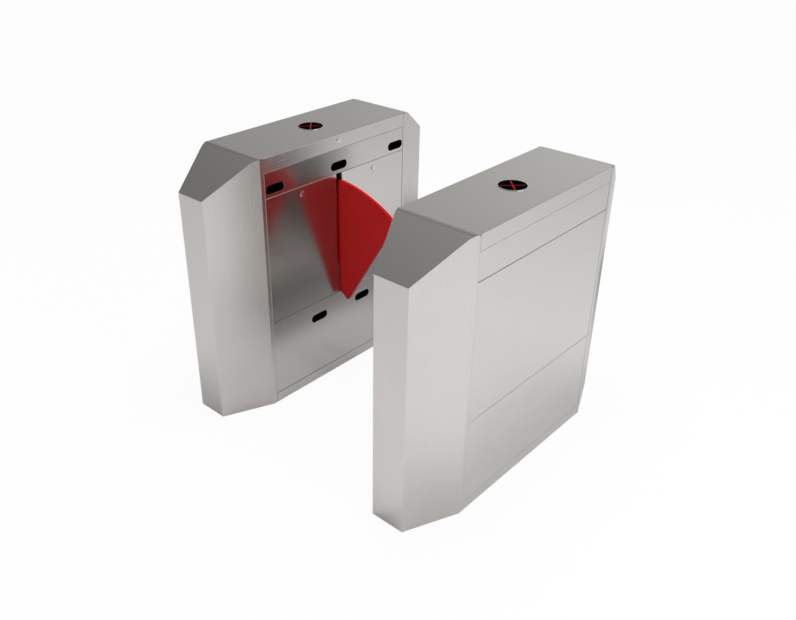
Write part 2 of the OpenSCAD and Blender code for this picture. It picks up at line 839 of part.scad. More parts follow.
// Gear motors behind the rear plates, the output shaft's seat open in front
module gear_motors() {
    y0 = plate_y1 + seat / 2;
    y1 = y0 + gearbox_l;
    y2 = y1 + motor_l;
    cap_step = 4;
    box_l = 30;
    box_rise = 8;
    color(DARK_STEEL) on_both() difference() {
        union() {
            bar_y(y0, y1, pinion_x, pivot_h, gearbox_d / 2);
            bar_y(y1 - seat, y2, pinion_x, pivot_h, motor_d / 2);
            bar_y(y2 - seat, y2 + motor_d / 6, pinion_x, pivot_h, motor_d / 2 - cap_step);
            box([pinion_x - box_l / 2, y1 + box_l / 2, pivot_h],
                [pinion_x + box_l / 2, y1 + box_l * 1.5, pivot_h + motor_d / 2 + box_rise]);
        }
        bar_y(y0 - over, y0 + shaft_seat, pinion_x, pivot_h, pinion_shaft_r + run);
    }
}

// Control board on standoffs, with its main components
module control_boards() {
    x1 = rack_x - standoff_l;
    y0 = rack_y0 + rack_margin;
    edge = 8;
    relay = [15, 16, 19];
    relay_pitch = 24;
    chip = [3, 18, 18];
    color(BOARD_GREEN) on_both() {
        box([x1 - board_t, y0, board_z], [x1, y0 + board_w, board_z + board_h]);
        for (y = [edge, board_w - edge], z = [edge, board_h - edge])
            bar_x(x1 - seat, rack_x - seat / 2, y0 + y, board_z + z, standoff_r);
        for (i = [0:3]) translate([x1 - board_t - relay.x + seat, y0 + edge + i * relay_pitch,
            board_z + board_h - edge - relay.z]) cube(relay);
        translate([x1 - board_t - chip.x + seat, y0 + board_w / 2 - chip.y / 2,
            board_z + board_h / 2 - chip.z]) cube(chip);
    }
}

module power_supplies() {
    y0 = rack_y0 + rack_margin;
    fin = 3;
    color(CHROME) on_both() difference() {
        box([rack_x - supply_d - seat / 2, y0, supply_z],
            [rack_x - seat / 2, y0 + supply_w, supply_z + supply_h]);
        for (i = [1:6]) box([rack_x - supply_d - over, y0 + supply_w * i / 7 - fin / 2,
            supply_z + supply_h / 4], [rack_x - supply_d + fin, y0 + supply_w * i / 7 + fin / 2,
            supply_z + supply_h * 3 / 4]);
    }
}

// Grommet round the cable entry in the base plate
module cable_glands() {
    wall = 4;
    rim_h = 3;
    color(RUBBER) on_both() translate([entry_x, entry_y, 0]) difference() {
        union() {
            translate([0, 0, seat]) cylinder(h = base_t + rim_h, r = entry_d / 2 - seat);
            translate([0, 0, base_t + seat]) cylinder(h = rim_h, r = entry_d / 2 + wall);
        }
        translate([0, 0, -over])
            cylinder(h = base_t + rim_h + 3 * over, r = entry_d / 2 - wall);
    }
}

// Section of the lid across the cabinet, with its top folds rounded
module lid_section() {
    outer = [[0, lid_z0], [0, cab_h], [cab_w, cab_h], [cab_w, lid_z0]];
    inner = [[sheet_t, lid_z0 - over], [sheet_t, cab_h - sheet_t],
        [cab_w - sheet_t, cab_h - sheet_t], [cab_w - sheet_t, lid_z0 - over]];
    difference() {
        polygon([outer[0], each corner(outer[0], outer[1], outer[2], bend_r),
            each corner(outer[1], outer[2], outer[3], bend_r), outer[3]]);
        polygon([inner[0], each corner(inner[0], inner[1], inner[2], bend_r - sheet_t),
            each corner(inner[1], inner[2], inner[3], bend_r - sheet_t), inner[3]]);
    }
}

// Lid with a flange on both sides, the hole of the lamp and the moving hinge leaves
module lid() {
    color(STEEL) {
        difference() {
            along_y(-lid_y, lid_y) lid_section();
            for (k = [0, 1]) mirror([0, k, 0])
                box([-over, panel_y, lid_z0 - over],
                    [cab_w + over, lid_y + over, cab_h - sheet_t]);
            translate([cab_w / 2, 0, cab_h - sheet_t - over])
                cylinder(h = sheet_t + 2 * over, r = lamp_d / 2 + ring_w / 2 + seat);
            bar_x(-over, sheet_t + over, 0, lid_lock_z, barrel_r + seat);
        }
        for (k = [-1, 1]) translate([0, k * hinge_pitch, 0]) difference() {
            union() {
                box([cab_w - sheet_t - leaf_t, -knuckle_w / 2 + seat, hinge_z - knuckle_r],
                    [cab_w - sheet_t, knuckle_w / 2 - seat, cab_h - sheet_t - bend_r]);
                box([hinge_x, -knuckle_w / 2 + seat, hinge_z - leaf_t / 2],
                    [cab_w - sheet_t, knuckle_w / 2 - seat, hinge_z + leaf_t / 2]);
                bar_y(-knuckle_w / 2 + seat, knuckle_w / 2 - seat, hinge_x, hinge_z,
                    knuckle_r);
            }
            bar_y(-knuckle_w, knuckle_w, hinge_x, hinge_z, hinge_d / 2 + run);
        }
    }
}

// Fixed hinge leaves on the inner edge of the outer rail, where the lid's flange swings
// past them, with their pins
module lid_hinges() {
    x0 = cab_w - tube_x - tube_w;
    pin_end = 1;
    color(DARK_STEEL) on_both() for (k = [-1, 1]) translate([0, k * hinge_pitch, 0]) {
        for (y0 = [-1.5 * knuckle_w, knuckle_w / 2]) {
            box([x0, y0, rail_z1 + seat / 2],
                [x0 + leaf_t, y0 + knuckle_w, hinge_z + leaf_t / 2]);
            box([x0, y0, hinge_z - leaf_t / 2], [hinge_x, y0 + knuckle_w, hinge_z + leaf_t / 2]);
            bar_y(y0, y0 + knuckle_w, hinge_x, hinge_z, knuckle_r);
        }
        bar_y(-1.5 * knuckle_w - pin_end, 1.5 * knuckle_w + pin_end, hinge_x, hinge_z,
            hinge_d / 2);
    }
}

// Bright ring of the lamp and the cup below it
module lamp_bezel() {
    r1 = lamp_d / 2 + ring_w;
    color(CHROME) translate([cab_w / 2, 0, cab_h]) difference() {
        union() {
            translate([0, 0, seat / 2]) cylinder(h = ring_t, r = r1);
            translate([0, 0, -cup_h]) cylinder(h = cup_h + ring_t / 2,
                r = lamp_d / 2 + ring_w / 2);
        }
        translate([0, 0, -lens_h]) cylinder(h = lens_h + ring_t + over, r = lamp_d / 2 + seat);
        translate([0, 0, cup_t - cup_h]) cylinder(h = cup_h, r = lamp_d / 2 - cup_t);
    }
}

// Arms of the cross, drawn from above, each grown by t
module cross_shape(t) {
    for (a = [-45, 45]) rotate(a) square([cross_l + 2 * t, cross_w + 2 * t], center = true);
}

module lamp_lens() {
    color(BLACK) translate([cab_w / 2, 0, cab_h]) difference() {
        translate([0, 0, seat - lens_h]) cylinder(h = lens_h, r = lamp_d / 2);
        translate([0, 0, seat - groove_t]) linear_extrude(groove_t + over)
            cross_shape(seat / 2);
    }
}

module lamp_cross() {
    color(LIT_RED) translate([cab_w / 2, 0, cab_h + seat - groove_t + seat / 4])
        linear_extrude(groove_t) cross_shape(0);
}

// Fixed housing of a lock, its domed face proud of the sheet
module lock_barrel(y, z) {
    nut_h = 5;
    color(CHROME) translate([0, y, z]) rotate([0, 90, 0]) difference() {
        union() {
            translate([0, 0, -seat / 2]) mirror([0, 0, 1])
                cylinder(h = face_t, r1 = lock_d / 2, r2 = lock_d / 2 - face_chamfer);
            translate([0, 0, -seat]) cylinder(h = cam_x - seat, r = barrel_r);
            translate([0, 0, sheet_t + seat]) cylinder(h = nut_h, r = barrel_r * 1.45, $fn = 6);
        }
        translate([0, 0, -face_t - over]) cylinder(h = cam_x + face_t + 2 * over,
            r = plug_d / 2 + run);
    }
}

// Plug with its keyway, and on its inner end a cam of the given length that points at
// angle a from +Y towards +Z
module lock_plug(y, z, a, length) {
    color(CHROME) translate([0, y, z]) rotate([a, 0, 0]) {
        difference() {
            bar_x(-face_t - seat, cam_x + seat, 0, 0, plug_d / 2);
            box([-face_t - over, -key_l / 2, -key_w / 2], [over - face_t, key_l / 2, key_w / 2]);
        }
        along_x(cam_x + seat / 2, cam_x + seat / 2 + cam_t) {
            circle(r = cam_w / 2 + cam_rim);
            oblong((length - cam_w / 2) / 2, 0, length + cam_w / 2, cam_w);
        }
    }
}

// The lid's cam hangs down where it is open, and turns level under its catch
module lid_barrel() {
    lock_barrel(0, lid_lock_z);
}

module lid_lock() {
    lock_plug(0, lid_lock_z, -90, lid_cam_l);
}

// Service door in front of the slot, with tabs at its foot that drop behind the lower panel
module front_door() {
    tab_w = 40;
    tab_h = 14;
    tab_x = lip_d + 1;
    color(STEEL) difference() {
        union() {
            panel(-panel_y, -door_y0, door_z0, door_z1);
            for (y = [tab_w - panel_y, -slot_post_y - tube_w - 2 * tab_w]) {
                box([lip_d - sheet_t, y, door_z0], [tab_x + sheet_t, y + tab_w,
                    door_z0 + sheet_t]);
                box([tab_x, y, door_z0 - tab_h], [tab_x + sheet_t, y + tab_w,
                    door_z0 + sheet_t]);
            }
        }
        bar_x(-over, sheet_t + over, -door_mid, door_lock_z, barrel_r + seat);
    }
}

module rear_door() {
    mirror([0, 1, 0]) front_door();
}

module front_barrel() {
    lock_barrel(-door_mid, door_lock_z);
}

module rear_barrel() {
    lock_barrel(door_mid, door_lock_z);
}

// The doors' cams lie level where they are open, and turn up behind the band's lip
module front_lock() {
    lock_plug(-door_mid, door_lock_z, 0, door_cam_l);
}

module rear_lock() {
    lock_plug(door_mid, door_lock_z, 0, door_cam_l);
}

for (s = SIDES) {
    on_side(s) base_frame();
    on_side(s) end_cap();
    on_side(s) rear_end_cap();
    on_side(s) frame();
    on_side(s) sensor_band();
    on_side(s) lower_panel();
    on_side(s) outer_panel();
    on_side(s) mechanism_frame();
    on_side(s) flap();
    on_side(s) flap_arm();
    on_side(s) sector_gear();
    on_side(s) pinion();
    on_side(s) lid();
    on_side(s) lamp_bezel();
    on_side(s) lamp_lens();
    on_side(s) lamp_cross();
    on_side(s) lid_barrel();
    on_side(s) lid_lock();
    on_side(s) front_door();
    on_side(s) front_barrel();
    on_side(s) front_lock();
    on_side(s) rear_door();
    on_side(s) rear_barrel();
    on_side(s) rear_lock();
}
outer_bands();
outer_lower_panels();
sensor_lenses();
sensor_modules();
shaft_bearings();
stop_buffers();
gear_motors();
control_boards();
power_supplies();
cable_glands();
lid_hinges();
foot_screws();
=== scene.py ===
# %% [markdown]
# # A flap barrier turnstile, dressed for its picture
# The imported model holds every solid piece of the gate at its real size: two cabinets of
# folded stainless sheet, the red flaps, and the drives inside. This script gives them their
# finishes, rounds their edges and adds what a maker would screw, weld or wire to them.
# Everything is in metres, in the model's own frame: X across the lane, Y the way people
# walk, Z up. Values whose names end in MM are millimetres.

# %% Load the model and keep its box
import json
import math
import bpy
import bmesh
from mathutils import Matrix, Vector


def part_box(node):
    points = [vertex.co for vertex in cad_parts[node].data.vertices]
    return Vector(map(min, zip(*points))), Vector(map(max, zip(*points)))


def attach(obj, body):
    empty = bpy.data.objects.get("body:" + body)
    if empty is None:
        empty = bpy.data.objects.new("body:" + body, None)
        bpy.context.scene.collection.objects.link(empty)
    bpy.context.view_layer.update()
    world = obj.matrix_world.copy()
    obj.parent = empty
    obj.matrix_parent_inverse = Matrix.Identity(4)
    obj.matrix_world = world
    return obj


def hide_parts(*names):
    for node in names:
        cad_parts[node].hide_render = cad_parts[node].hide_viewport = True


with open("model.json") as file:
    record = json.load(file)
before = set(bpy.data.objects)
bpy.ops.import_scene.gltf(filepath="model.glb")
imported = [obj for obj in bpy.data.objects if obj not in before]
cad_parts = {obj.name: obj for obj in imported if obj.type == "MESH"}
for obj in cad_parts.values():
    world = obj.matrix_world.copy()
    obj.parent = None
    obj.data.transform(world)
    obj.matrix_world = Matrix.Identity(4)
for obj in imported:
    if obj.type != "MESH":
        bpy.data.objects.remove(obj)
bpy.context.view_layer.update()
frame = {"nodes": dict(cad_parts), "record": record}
scene = bpy.context.scene
SIDES = ("left", "right")
MM = 0.001

# %% [markdown]
# ## The camera
# The photograph was taken from in front of the gate and to its right, from above head
# height. Position, turn and focal length come from fitting the cabinets' straight edges, so
# the edges in the render lie on the edges in the photograph. The small shift moves the
# picture's centre to where the photograph was cropped.

# %% Camera at the photograph's viewpoint
IMAGE_W, IMAGE_H = 796, 620
FOCAL_PX = 837.8
CENTRE_PX = (366.9, 301.6)
CAMERA_AT = (1.7468, -2.0658, 1.9033)
CAMERA_TURN = (math.pi / 2 - 0.5048, 0.0, 0.7458)

lens = bpy.data.cameras.new("camera")
lens.sensor_width = 36.0
lens.lens = FOCAL_PX * lens.sensor_width / IMAGE_W
lens.shift_x = (IMAGE_W / 2 - CENTRE_PX[0]) / IMAGE_W
lens.shift_y = (CENTRE_PX[1] - IMAGE_H / 2) / IMAGE_W
camera = bpy.data.objects.new("camera", lens)
camera.location = CAMERA_AT
camera.rotation_euler = CAMERA_TURN
scene.collection.objects.link(camera)
scene.camera = camera
scene.view_settings.view_transform = "Standard"
print("lens:", round(lens.lens, 2), "mm")

# %% [markdown]
# ## Colours and nodes
# Paint charts and pictures give colours as sRGB hex values, but shaders work in linear
# light, so one function turns one into the other. A second one adds a node, sets what it is
# told, and links what it is given. Every material and every tree below is made with it.

# %% Two helpers
def linear(code):
    """sRGB hex value to linear red, green, blue, alpha."""
    parts = [int(code[i:i + 2], 16) / 255 for i in (1, 3, 5)]
    return tuple(p / 12.92 if p <= 0.04045 else ((p + 0.055) / 1.055) ** 2.4
                 for p in parts) + (1.0,)


def add(tree, kind, settings=None, **inputs):
    """Adds a node. Settings are its attributes; inputs are values or sockets to link."""
    node = tree.nodes.new(kind)
    for name, value in (settings or {}).items():
        setattr(node, name, value)
    for name, value in inputs.items():
        key = int(name[1:]) if name[0] == "i" and name[1:].isdigit() else name.replace("_", " ")
        if isinstance(value, bpy.types.NodeSocket):
            tree.links.new(value, node.inputs[key])
        else:
            node.inputs[key].default_value = value
    return node


print("stainless grey in linear light:", [round(c, 3) for c in linear("#C8C5C1")[:3]])

# %% [markdown]
# ## Studio
# Bright metal shows what surrounds it, so the studio is built from what the steel has to
# show. The walls are bright on the far side and dim on the left, and the ceiling is dark: the
# tops mirror the far walls and the slopes mirror the ceiling, which is why they differ so
# much in the photograph, with a clear line where the slope starts to bend. A picture of a
# real studio could stand round the gate, but two ramps of grey say the same and can be tuned.
# Dull surfaces get an even light from all round, and the camera sees plain white.

# %% World: bright walls behind the gate, a dark ceiling
BRIGHT_SIDE = (0.5, 0.86, 0.0)
# Greys from the side that faces away, at 0, to the bright side, at 1.
WALL_STEPS = [(0.0, "#6A6A69"), (0.5, "#9A9A99"), (0.6, "#B4B4B3"), (0.68, "#C8C8C7"),
              (0.75, "#E0E0DF"), (0.9, "#F0F0F0"), (1.0, "#F8F8F8")]
CEILING_STEPS = [(0.0, "#5F5F5E"), (0.275, "#747473"), (0.33, "#A2A2A0"), (0.6, "#A6A6A4"),
                 (1.0, "#B0B0AE")]
CEILING_FROM, CEILING_TO = 0.405, 0.45
WHITE, FILL_CODE, FILL_LIGHT = (1.0, 1.0, 1.0, 1.0), "#F4F4F5", 0.72

world = bpy.data.worlds.new("studio")
scene.world = world
world.use_nodes = True
sky = world.node_tree
sky.nodes.clear()
direction = add(sky, "ShaderNodeTexCoord").outputs["Generated"]
towards = add(sky, "ShaderNodeVectorMath", {"operation": "DOT_PRODUCT"}, i0=direction,
              i1=BRIGHT_SIDE)
around = add(sky, "ShaderNodeMapRange", Value=towards.outputs["Value"], i1=-1.0, i2=1.0)
greys = []
for steps in (WALL_STEPS, CEILING_STEPS):
    ramp = add(sky, "ShaderNodeValToRGB", Fac=around.outputs[0])
    for place, code in steps[1:-1]:
        ramp.color_ramp.elements.new(place)
    for element, (place, code) in zip(ramp.color_ramp.elements, steps):
        element.position = place
        element.color = linear(code)
    greys.append(ramp.outputs["Color"])
up = add(sky, "ShaderNodeSeparateXYZ", Vector=direction).outputs["Z"]
overhead = add(sky, "ShaderNodeMapRange", Value=up, i1=CEILING_FROM, i2=CEILING_TO)
room = add(sky, "ShaderNodeMix", {"data_type": "RGBA"}, Factor=overhead.outputs[0],
           i6=greys[0], i7=greys[1])
rays = add(sky, "ShaderNodeLightPath").outputs
shiny = add(sky, "ShaderNodeMath", {"operation": "MAXIMUM"}, i0=rays["Is Glossy Ray"],
            i1=rays["Is Transmission Ray"])
seen_white = add(sky, "ShaderNodeBackground", Color=WHITE, Strength=1.0)
seen_room = add(sky, "ShaderNodeBackground", Color=room.outputs[2], Strength=1.0)
fill = add(sky, "ShaderNodeBackground", Color=linear(FILL_CODE), Strength=FILL_LIGHT)
lit = add(sky, "ShaderNodeMixShader", i0=shiny.outputs[0], i1=fill.outputs[0],
          i2=seen_room.outputs[0])
shown = add(sky, "ShaderNodeMixShader", i0=rays["Is Camera Ray"], i1=lit.outputs[0],
            i2=seen_white.outputs[0])
add(sky, "ShaderNodeOutputWorld", Surface=shown.outputs[0])
print("wall steps:", len(WALL_STEPS), "ceiling steps:", len(CEILING_STEPS))

# %% [markdown]
# ## Floor
# The gate stands on a plain pale floor. The camera sees it nearly white, as in the
# photograph, yet with the gate's soft shadow. Upright panels mirror the floor, and to them it
# shows its true matt shading, which is darker between the cabinets, and two large soft-edged
# patches of painted shade that only mirrors see, for the dim lane and the darker room round
# the gate. They draw the gradient on metal. A lamp or a dark wall could do it too, but would
# also change the tops.

# %% Floor: pale, seen as white, with patches of painted shade for what is mirrored
FLOOR_HALF, FLOOR_Z = 14.0, -0.0005
FLOOR_SEEN, FLOOR_CODE = 0.94, "#EFEFEF"
# Each patch of painted shade: its colour, and along an axis where it is bare and where it
# is full, in metres.
MIRRORED_SHADE_PATCHES = (("#A2A2A1", (("X", -0.04, 0.12), ("X", 0.6, 0.45), ("Y", -0.5, -0.2),
                       ("Y", 0.8, 0.4))),
          ("#5A5A59", (("X", 0.65, 0.15), ("Y", 0.3, 0.9), ("Y", 2.1, 1.5))))

slab = bpy.data.meshes.new("floor")
corners = [(x * FLOOR_HALF, y * FLOOR_HALF, FLOOR_Z) for x, y in
           ((-1, -1), (1, -1), (1, 1), (-1, 1))]
slab.from_pydata(corners, [], [(0, 1, 2, 3)])
floor = bpy.data.objects.new("floor", slab)
scene.collection.objects.link(floor)
paint = bpy.data.materials.new("pale_floor")
paint.use_nodes = True
tree = paint.node_tree
tree.nodes.clear()
rays = add(tree, "ShaderNodeLightPath").outputs
seen = add(tree, "ShaderNodeMath", {"operation": "MULTIPLY"}, i0=rays["Is Camera Ray"],
           i1=FLOOR_SEEN)
place = add(tree, "ShaderNodeTexCoord").outputs["Object"]
where = add(tree, "ShaderNodeSeparateXYZ", Vector=place).outputs
colour = linear(FLOOR_CODE)
# Painted shade: only glossy rays see these darker patches, which are mixed into the floor's
# colour.
for code, fades in MIRRORED_SHADE_PATCHES:
    shade_share = rays["Is Glossy Ray"]
    for axis, bare, full in fades:
        fade = add(tree, "ShaderNodeMapRange", {"interpolation_type": "SMOOTHSTEP"},
                   Value=where[axis], i1=bare, i2=full)
        shade_share = add(tree, "ShaderNodeMath", {"operation": "MULTIPLY"}, i0=shade_share,
                    i1=fade.outputs[0]).outputs[0]
    colour = add(tree, "ShaderNodeMix", {"data_type": "RGBA"}, Factor=shade_share, i6=colour,
                 i7=linear(code)).outputs[2]
matt = add(tree, "ShaderNodeBsdfDiffuse", Color=colour)
glow = add(tree, "ShaderNodeEmission", Color=WHITE, Strength=1.0)
surface = add(tree, "ShaderNodeMixShader", i0=seen.outputs[0], i1=matt.outputs[0],
              i2=glow.outputs[0])
add(tree, "ShaderNodeOutputMaterial", Surface=surface.outputs[0])
floor.data.materials.append(paint)
print("floor:", 2 * FLOOR_HALF, "m square")

# %% [markdown]
# ## Soft lamps
# Three square lamps give shadows a soft edge: a key on the right, a weak fill in front on the
# left, and one over the lane for the flaps. One strong lamp would be simpler, but its shadow
# would be hard. Steel doesn't mirror the lamp over the lane, which would burn a patch into it.

# %% Three soft lamps
# Name, place, what it points at, side of the square in metres, and watts.
LAMPS = (("key_lamp", (3.0, 0.2, 2.6), (0.3, 0.1, 0.3), 2.2, 46),
         ("fill_lamp", (-2.6, -3.0, 2.4), (0.0, 0.0, 0.5), 2.5, 12),
         ("lane_lamp", (0.0, 0.0, 3.2), (0.0, 0.0, 0.0), 0.8, 33))
for name, place, aim, side_m, watts in LAMPS:
    light = bpy.data.lights.new(name, "AREA")
    light.shape = "SQUARE"
    light.size = side_m
    light.energy = watts
    lamp = bpy.data.objects.new(name, light)
    lamp.location = place
    lamp.rotation_euler = (Vector(aim) - Vector(place)).to_track_quat("-Z", "Y").to_euler()
    lamp.visible_glossy = name != "lane_lamp"
    scene.collection.objects.link(lamp)
print("lamps:", len(LAMPS))

# %% [markdown]
# ## How a surface varies
# No real surface is one flat colour. Grinding, moulding and plating leave a grain, which
# changes tone, roughness and height together. So each material has one pattern that drives
# all three, and whatever is the same all over is set on the shader itself.

# %% A material and its pattern
def new_material(name, **fixed):
    """A material, its tree and its shader, which gets what is the same all over."""
    made = bpy.data.materials.new(name)
    made.use_nodes = True
    shader = made.node_tree.nodes["Principled BSDF"]
    for label, value in fixed.items():
        shader.inputs[label.replace("_", " ")].default_value = value
    return made, made.node_tree, shader


def vary(tree, shader, pattern, colour, tones, roughs, bump, bump_mm):
    """Lets a pattern from 0 to 1 change the colour, the roughness and the height."""
    tone = add(tree, "ShaderNodeMapRange", Value=pattern, i3=tones[0], i4=tones[1])
    toned = add(tree, "ShaderNodeVectorMath", {"operation": "SCALE"}, Vector=colour,
                Scale=tone.outputs[0])
    rough = add(tree, "ShaderNodeMapRange", Value=pattern, i3=roughs[0], i4=roughs[1])
    relief = add(tree, "ShaderNodeBump", Strength=bump, Distance=bump_mm * MM, Height=pattern)
    for label, node in (("Base Color", toned), ("Roughness", rough), ("Normal", relief)):
        tree.links.new(node.outputs[0], shader.inputs[label])


print("what a pattern changes: colour, roughness, height")

# %% [markdown]
# ## Satin stainless steel
# The cabinets are folded from stainless sheet that was ground with fine grit belts, which
# leaves hair-thin parallel lines. It is a bare metal, so it has full metallic shading and the
# default index of refraction. The lines are far finer than a pixel here, so they are drawn
# about ten times too coarse, as streaks that change roughness and tone a little.

# %% Brushed stainless material
CLOUD_MM = 200.0
STREAK_TONES, CLOUD_TONES, STREAK_ROUGH = (0.99, 1.007), (0.975, 1.02), 0.014


def brushed_steel(name, code, roughness, along, streak_mm=(160.0, 1.2), bump=0.0013, fall=0):
    """Ground sheet: streaks run along axis 'x', 'y' or 'z', turned down by fall at the ends."""
    made, tree, shader = new_material(name, Metallic=1.0)
    coord = add(tree, "ShaderNodeTexCoord").outputs["Object"]
    if fall:
        parts = add(tree, "ShaderNodeSeparateXYZ", Vector=coord).outputs
        outward = add(tree, "ShaderNodeMath", {"operation": "ABSOLUTE"}, i0=parts["Y"])
        folded = add(tree, "ShaderNodeCombineXYZ", X=parts["X"], Y=outward.outputs[0],
                     Z=parts["Z"])
        coord = add(tree, "ShaderNodeVectorRotate", {"rotation_type": "X_AXIS"},
                    Vector=folded.outputs[0], Angle=fall).outputs[0]
    long_mm, fine_mm = streak_mm
    scale = [1 / (MM * (long_mm if axis == along else fine_mm)) for axis in "xyz"]
    grain = add(tree, "ShaderNodeMapping", Vector=coord, Scale=scale)
    streaks = add(tree, "ShaderNodeTexNoise", Vector=grain.outputs[0], Scale=1.0, Detail=4.0,
                  Roughness=0.65)
    clouds = add(tree, "ShaderNodeTexNoise", Vector=coord, Scale=1 / (MM * CLOUD_MM),
                 Detail=2.0)
    drift = add(tree, "ShaderNodeMapRange", Value=clouds.outputs[0], i3=CLOUD_TONES[0],
                i4=CLOUD_TONES[1])
    colour = add(tree, "ShaderNodeVectorMath", {"operation": "SCALE"},
                 Vector=linear(code)[:3], Scale=drift.outputs[0])
    vary(tree, shader, streaks.outputs[0], colour.outputs[0], STREAK_TONES,
         (roughness - STREAK_ROUGH, roughness + STREAK_ROUGH), bump, 1.0)
    return made


# Outer panels, ground along their length: soft reflections, drawn out across the streaks.
panel_steel = brushed_steel("satin_stainless_panels", "#CECCC9", 0.27, "y")
# Passage side, ground finer: it shows the flap as a blurred red patch.
passage_steel = brushed_steel("satin_stainless_passage", "#CBC8C5", 0.19, "y")
# End caps, ground upright.
cap_steel = brushed_steel("satin_stainless_ends", "#CFCCC9", 0.27, "z")
print("steel materials:", panel_steel.name, passage_steel.name, cap_steel.name)

# %% [markdown]
# ## Plain finishes
# Paint, plastic, rubber and plated metal differ in colour, dullness and grain. Each could
# have a tree of its own, but the eye tells them apart by these few numbers, so one function
# makes them all, with a fine mottle at the real size of the grain.

# %% Plain finishes
ROUGH_SPREAD, LEAST_ROUGH = 0.05, 0.02


def finish(name, code, roughness, metallic=0.0, coat=0.0, glow=0.0, speck_mm=2.0,
           spread=0.06, bump=0.05, specular=0.5):
    """A paint, plastic, rubber or plated finish with a fine mottle of its real grain size."""
    fixed = {"Metallic": metallic, "Coat_Weight": coat, "Specular_IOR_Level": specular}
    if glow:
        fixed.update(Emission_Color=linear(code), Emission_Strength=glow)
    made, tree, shader = new_material(name, **fixed)
    coord = add(tree, "ShaderNodeTexCoord").outputs["Object"]
    specks = add(tree, "ShaderNodeTexNoise", Vector=coord, Scale=1 / (MM * speck_mm),
                 Detail=3.0)
    roughs = max(LEAST_ROUGH, roughness - ROUGH_SPREAD), min(1.0, roughness + ROUGH_SPREAD)
    vary(tree, shader, specks.outputs[0], linear(code)[:3], (1 - spread, 1 + spread), roughs,
         bump, 0.5)
    return made


FINISHES = {
    # Powder coat, baked on steel: dull, with a fine orange peel.
    "dark_steel": finish("powder_coat_dark", "#55575A", 0.55, speck_mm=0.8, bump=0.2),
    # Zinc, plated on screws and brackets: bright but a little milky.
    "bright_steel": finish("zinc_plate", "#B9BBBD", 0.32, metallic=1.0, speck_mm=3.0),
    # Chrome, plated and polished: clear reflections, hardly any grain.
    "chrome": finish("polished_chrome", "#DADBDD", 0.17, metallic=1.0, spread=0.01, bump=0.0),
    # Acrylic, smoked and moulded matt: black from every side, without a shine.
    "black_lens": finish("smoked_acrylic", "#020203", 0.3, spread=0.02, bump=0.0,
                         specular=0.0),
    # Acrylic, moulded as a light guide: a dim red ground for the diodes.
    "red_light": finish("red_light_guide", "#3A0204", 0.4, glow=0.2, spread=0.02, bump=0.0,
                        specular=0.1),
    # ABS, moulded against an eroded tool: an even half-dull black.
    "black_plastic": finish("black_abs", "#17181A", 0.48, speck_mm=0.6, bump=0.12),
    # Brass, turned: warm, with a soft shine.
    "brass": finish("machined_brass", "#B8975A", 0.30, metallic=1.0, speck_mm=1.0),
    # Rubber, moulded: black and quite dull.
    "rubber": finish("black_rubber", "#121212", 0.75, speck_mm=0.5, bump=0.2),
    # Enamel, sprayed on castings: black under a thin gloss.
    "motor_paint": finish("motor_black_paint", "#26282B", 0.38, coat=0.2, speck_mm=1.2),
    # Solder mask, screened on glass fibre: green lacquer with a clear shine.
    "circuit_board": finish("solder_mask", "#1B5A33", 0.34, coat=0.4, speck_mm=2.5),
    # Aluminium, extruded and left bare: pale, with a dull shine.
    "aluminium": finish("bare_aluminium", "#C3C5C7", 0.36, metallic=1.0, speck_mm=1.2),
    "stainless": panel_steel,
}
print("finishes:", sorted(FINISHES))

# %% [markdown]
# ## Red acrylic
# The flaps are 12 mm cast acrylic, dyed in the mass. Its faces look a deep red, and light
# that travels inside leaves through the sawn and polished edge, which so looks brighter and
# purer. Light could be traced through the plastic, but that stays noisy, so that light is
# painted on: the surface's own direction tells edge from face, and the edge's underside gets
# painted shade, as it lies in the flap's own shade.

# %% Acrylic material
ACRYLIC_IOR, HAZE_MM, HAZE_TONES = 1.49, 111.11, (0.94, 1.06)
FACE_FROM, FACE_TO = 0.55, 0.9
ABOVE_FROM, ABOVE_TO = -0.2, 0.1


def dyed_acrylic(name, face_code, edge_glow_code, under_shade_code):
    """Dyed sheet that lies across Y, with painted light on its edge and painted shade under it.
    """
    made, tree, shader = new_material(name, Roughness=0.3, IOR=ACRYLIC_IOR,
                                      Specular_IOR_Level=0.16)
    normal = add(tree, "ShaderNodeNewGeometry").outputs["Normal"]
    parts = add(tree, "ShaderNodeSeparateXYZ", Vector=normal).outputs
    flat = add(tree, "ShaderNodeMath", {"operation": "ABSOLUTE"}, i0=parts["Y"])
    face = add(tree, "ShaderNodeMapRange", Value=flat.outputs[0], i1=FACE_FROM, i2=FACE_TO)
    # Painted shade: edge faces that look down get the darker red.
    above = add(tree, "ShaderNodeMapRange", Value=parts["Z"], i1=ABOVE_FROM, i2=ABOVE_TO)
    edge = add(tree, "ShaderNodeMix", {"data_type": "RGBA"}, Factor=above.outputs[0],
               i6=linear(under_shade_code), i7=linear(edge_glow_code))
    coord = add(tree, "ShaderNodeTexCoord").outputs["Object"]
    haze = add(tree, "ShaderNodeTexNoise", Vector=coord, Scale=1 / (MM * HAZE_MM), Detail=2.0)
    tone = add(tree, "ShaderNodeMapRange", Value=haze.outputs[0], i3=HAZE_TONES[0],
               i4=HAZE_TONES[1])
    mixed = add(tree, "ShaderNodeMix", {"data_type": "RGBA"}, Factor=face.outputs[0],
                i6=edge.outputs[2], i7=linear(face_code))
    colour = add(tree, "ShaderNodeVectorMath", {"operation": "SCALE"},
                 Vector=mixed.outputs[2], Scale=tone.outputs[0])
    tree.links.new(colour.outputs[0], shader.inputs["Base Color"])
    return made


# Face red, the edge's painted light, and the painted shade under the edge.
FINISHES["red_acrylic"] = dyed_acrylic("red_cast_acrylic", "#BE1114", "#BE0408", "#8A080B")
print("acrylic:", FINISHES["red_acrylic"].name)

# %% [markdown]
# ## Which piece gets which finish
# The model's record names a material slot for each piece, and the slot gives the finish.
# Only the stainless sheets differ by their place, because each side of a cabinet was ground
# in its own direction and with its own grit. The flap's arm is powder coated.

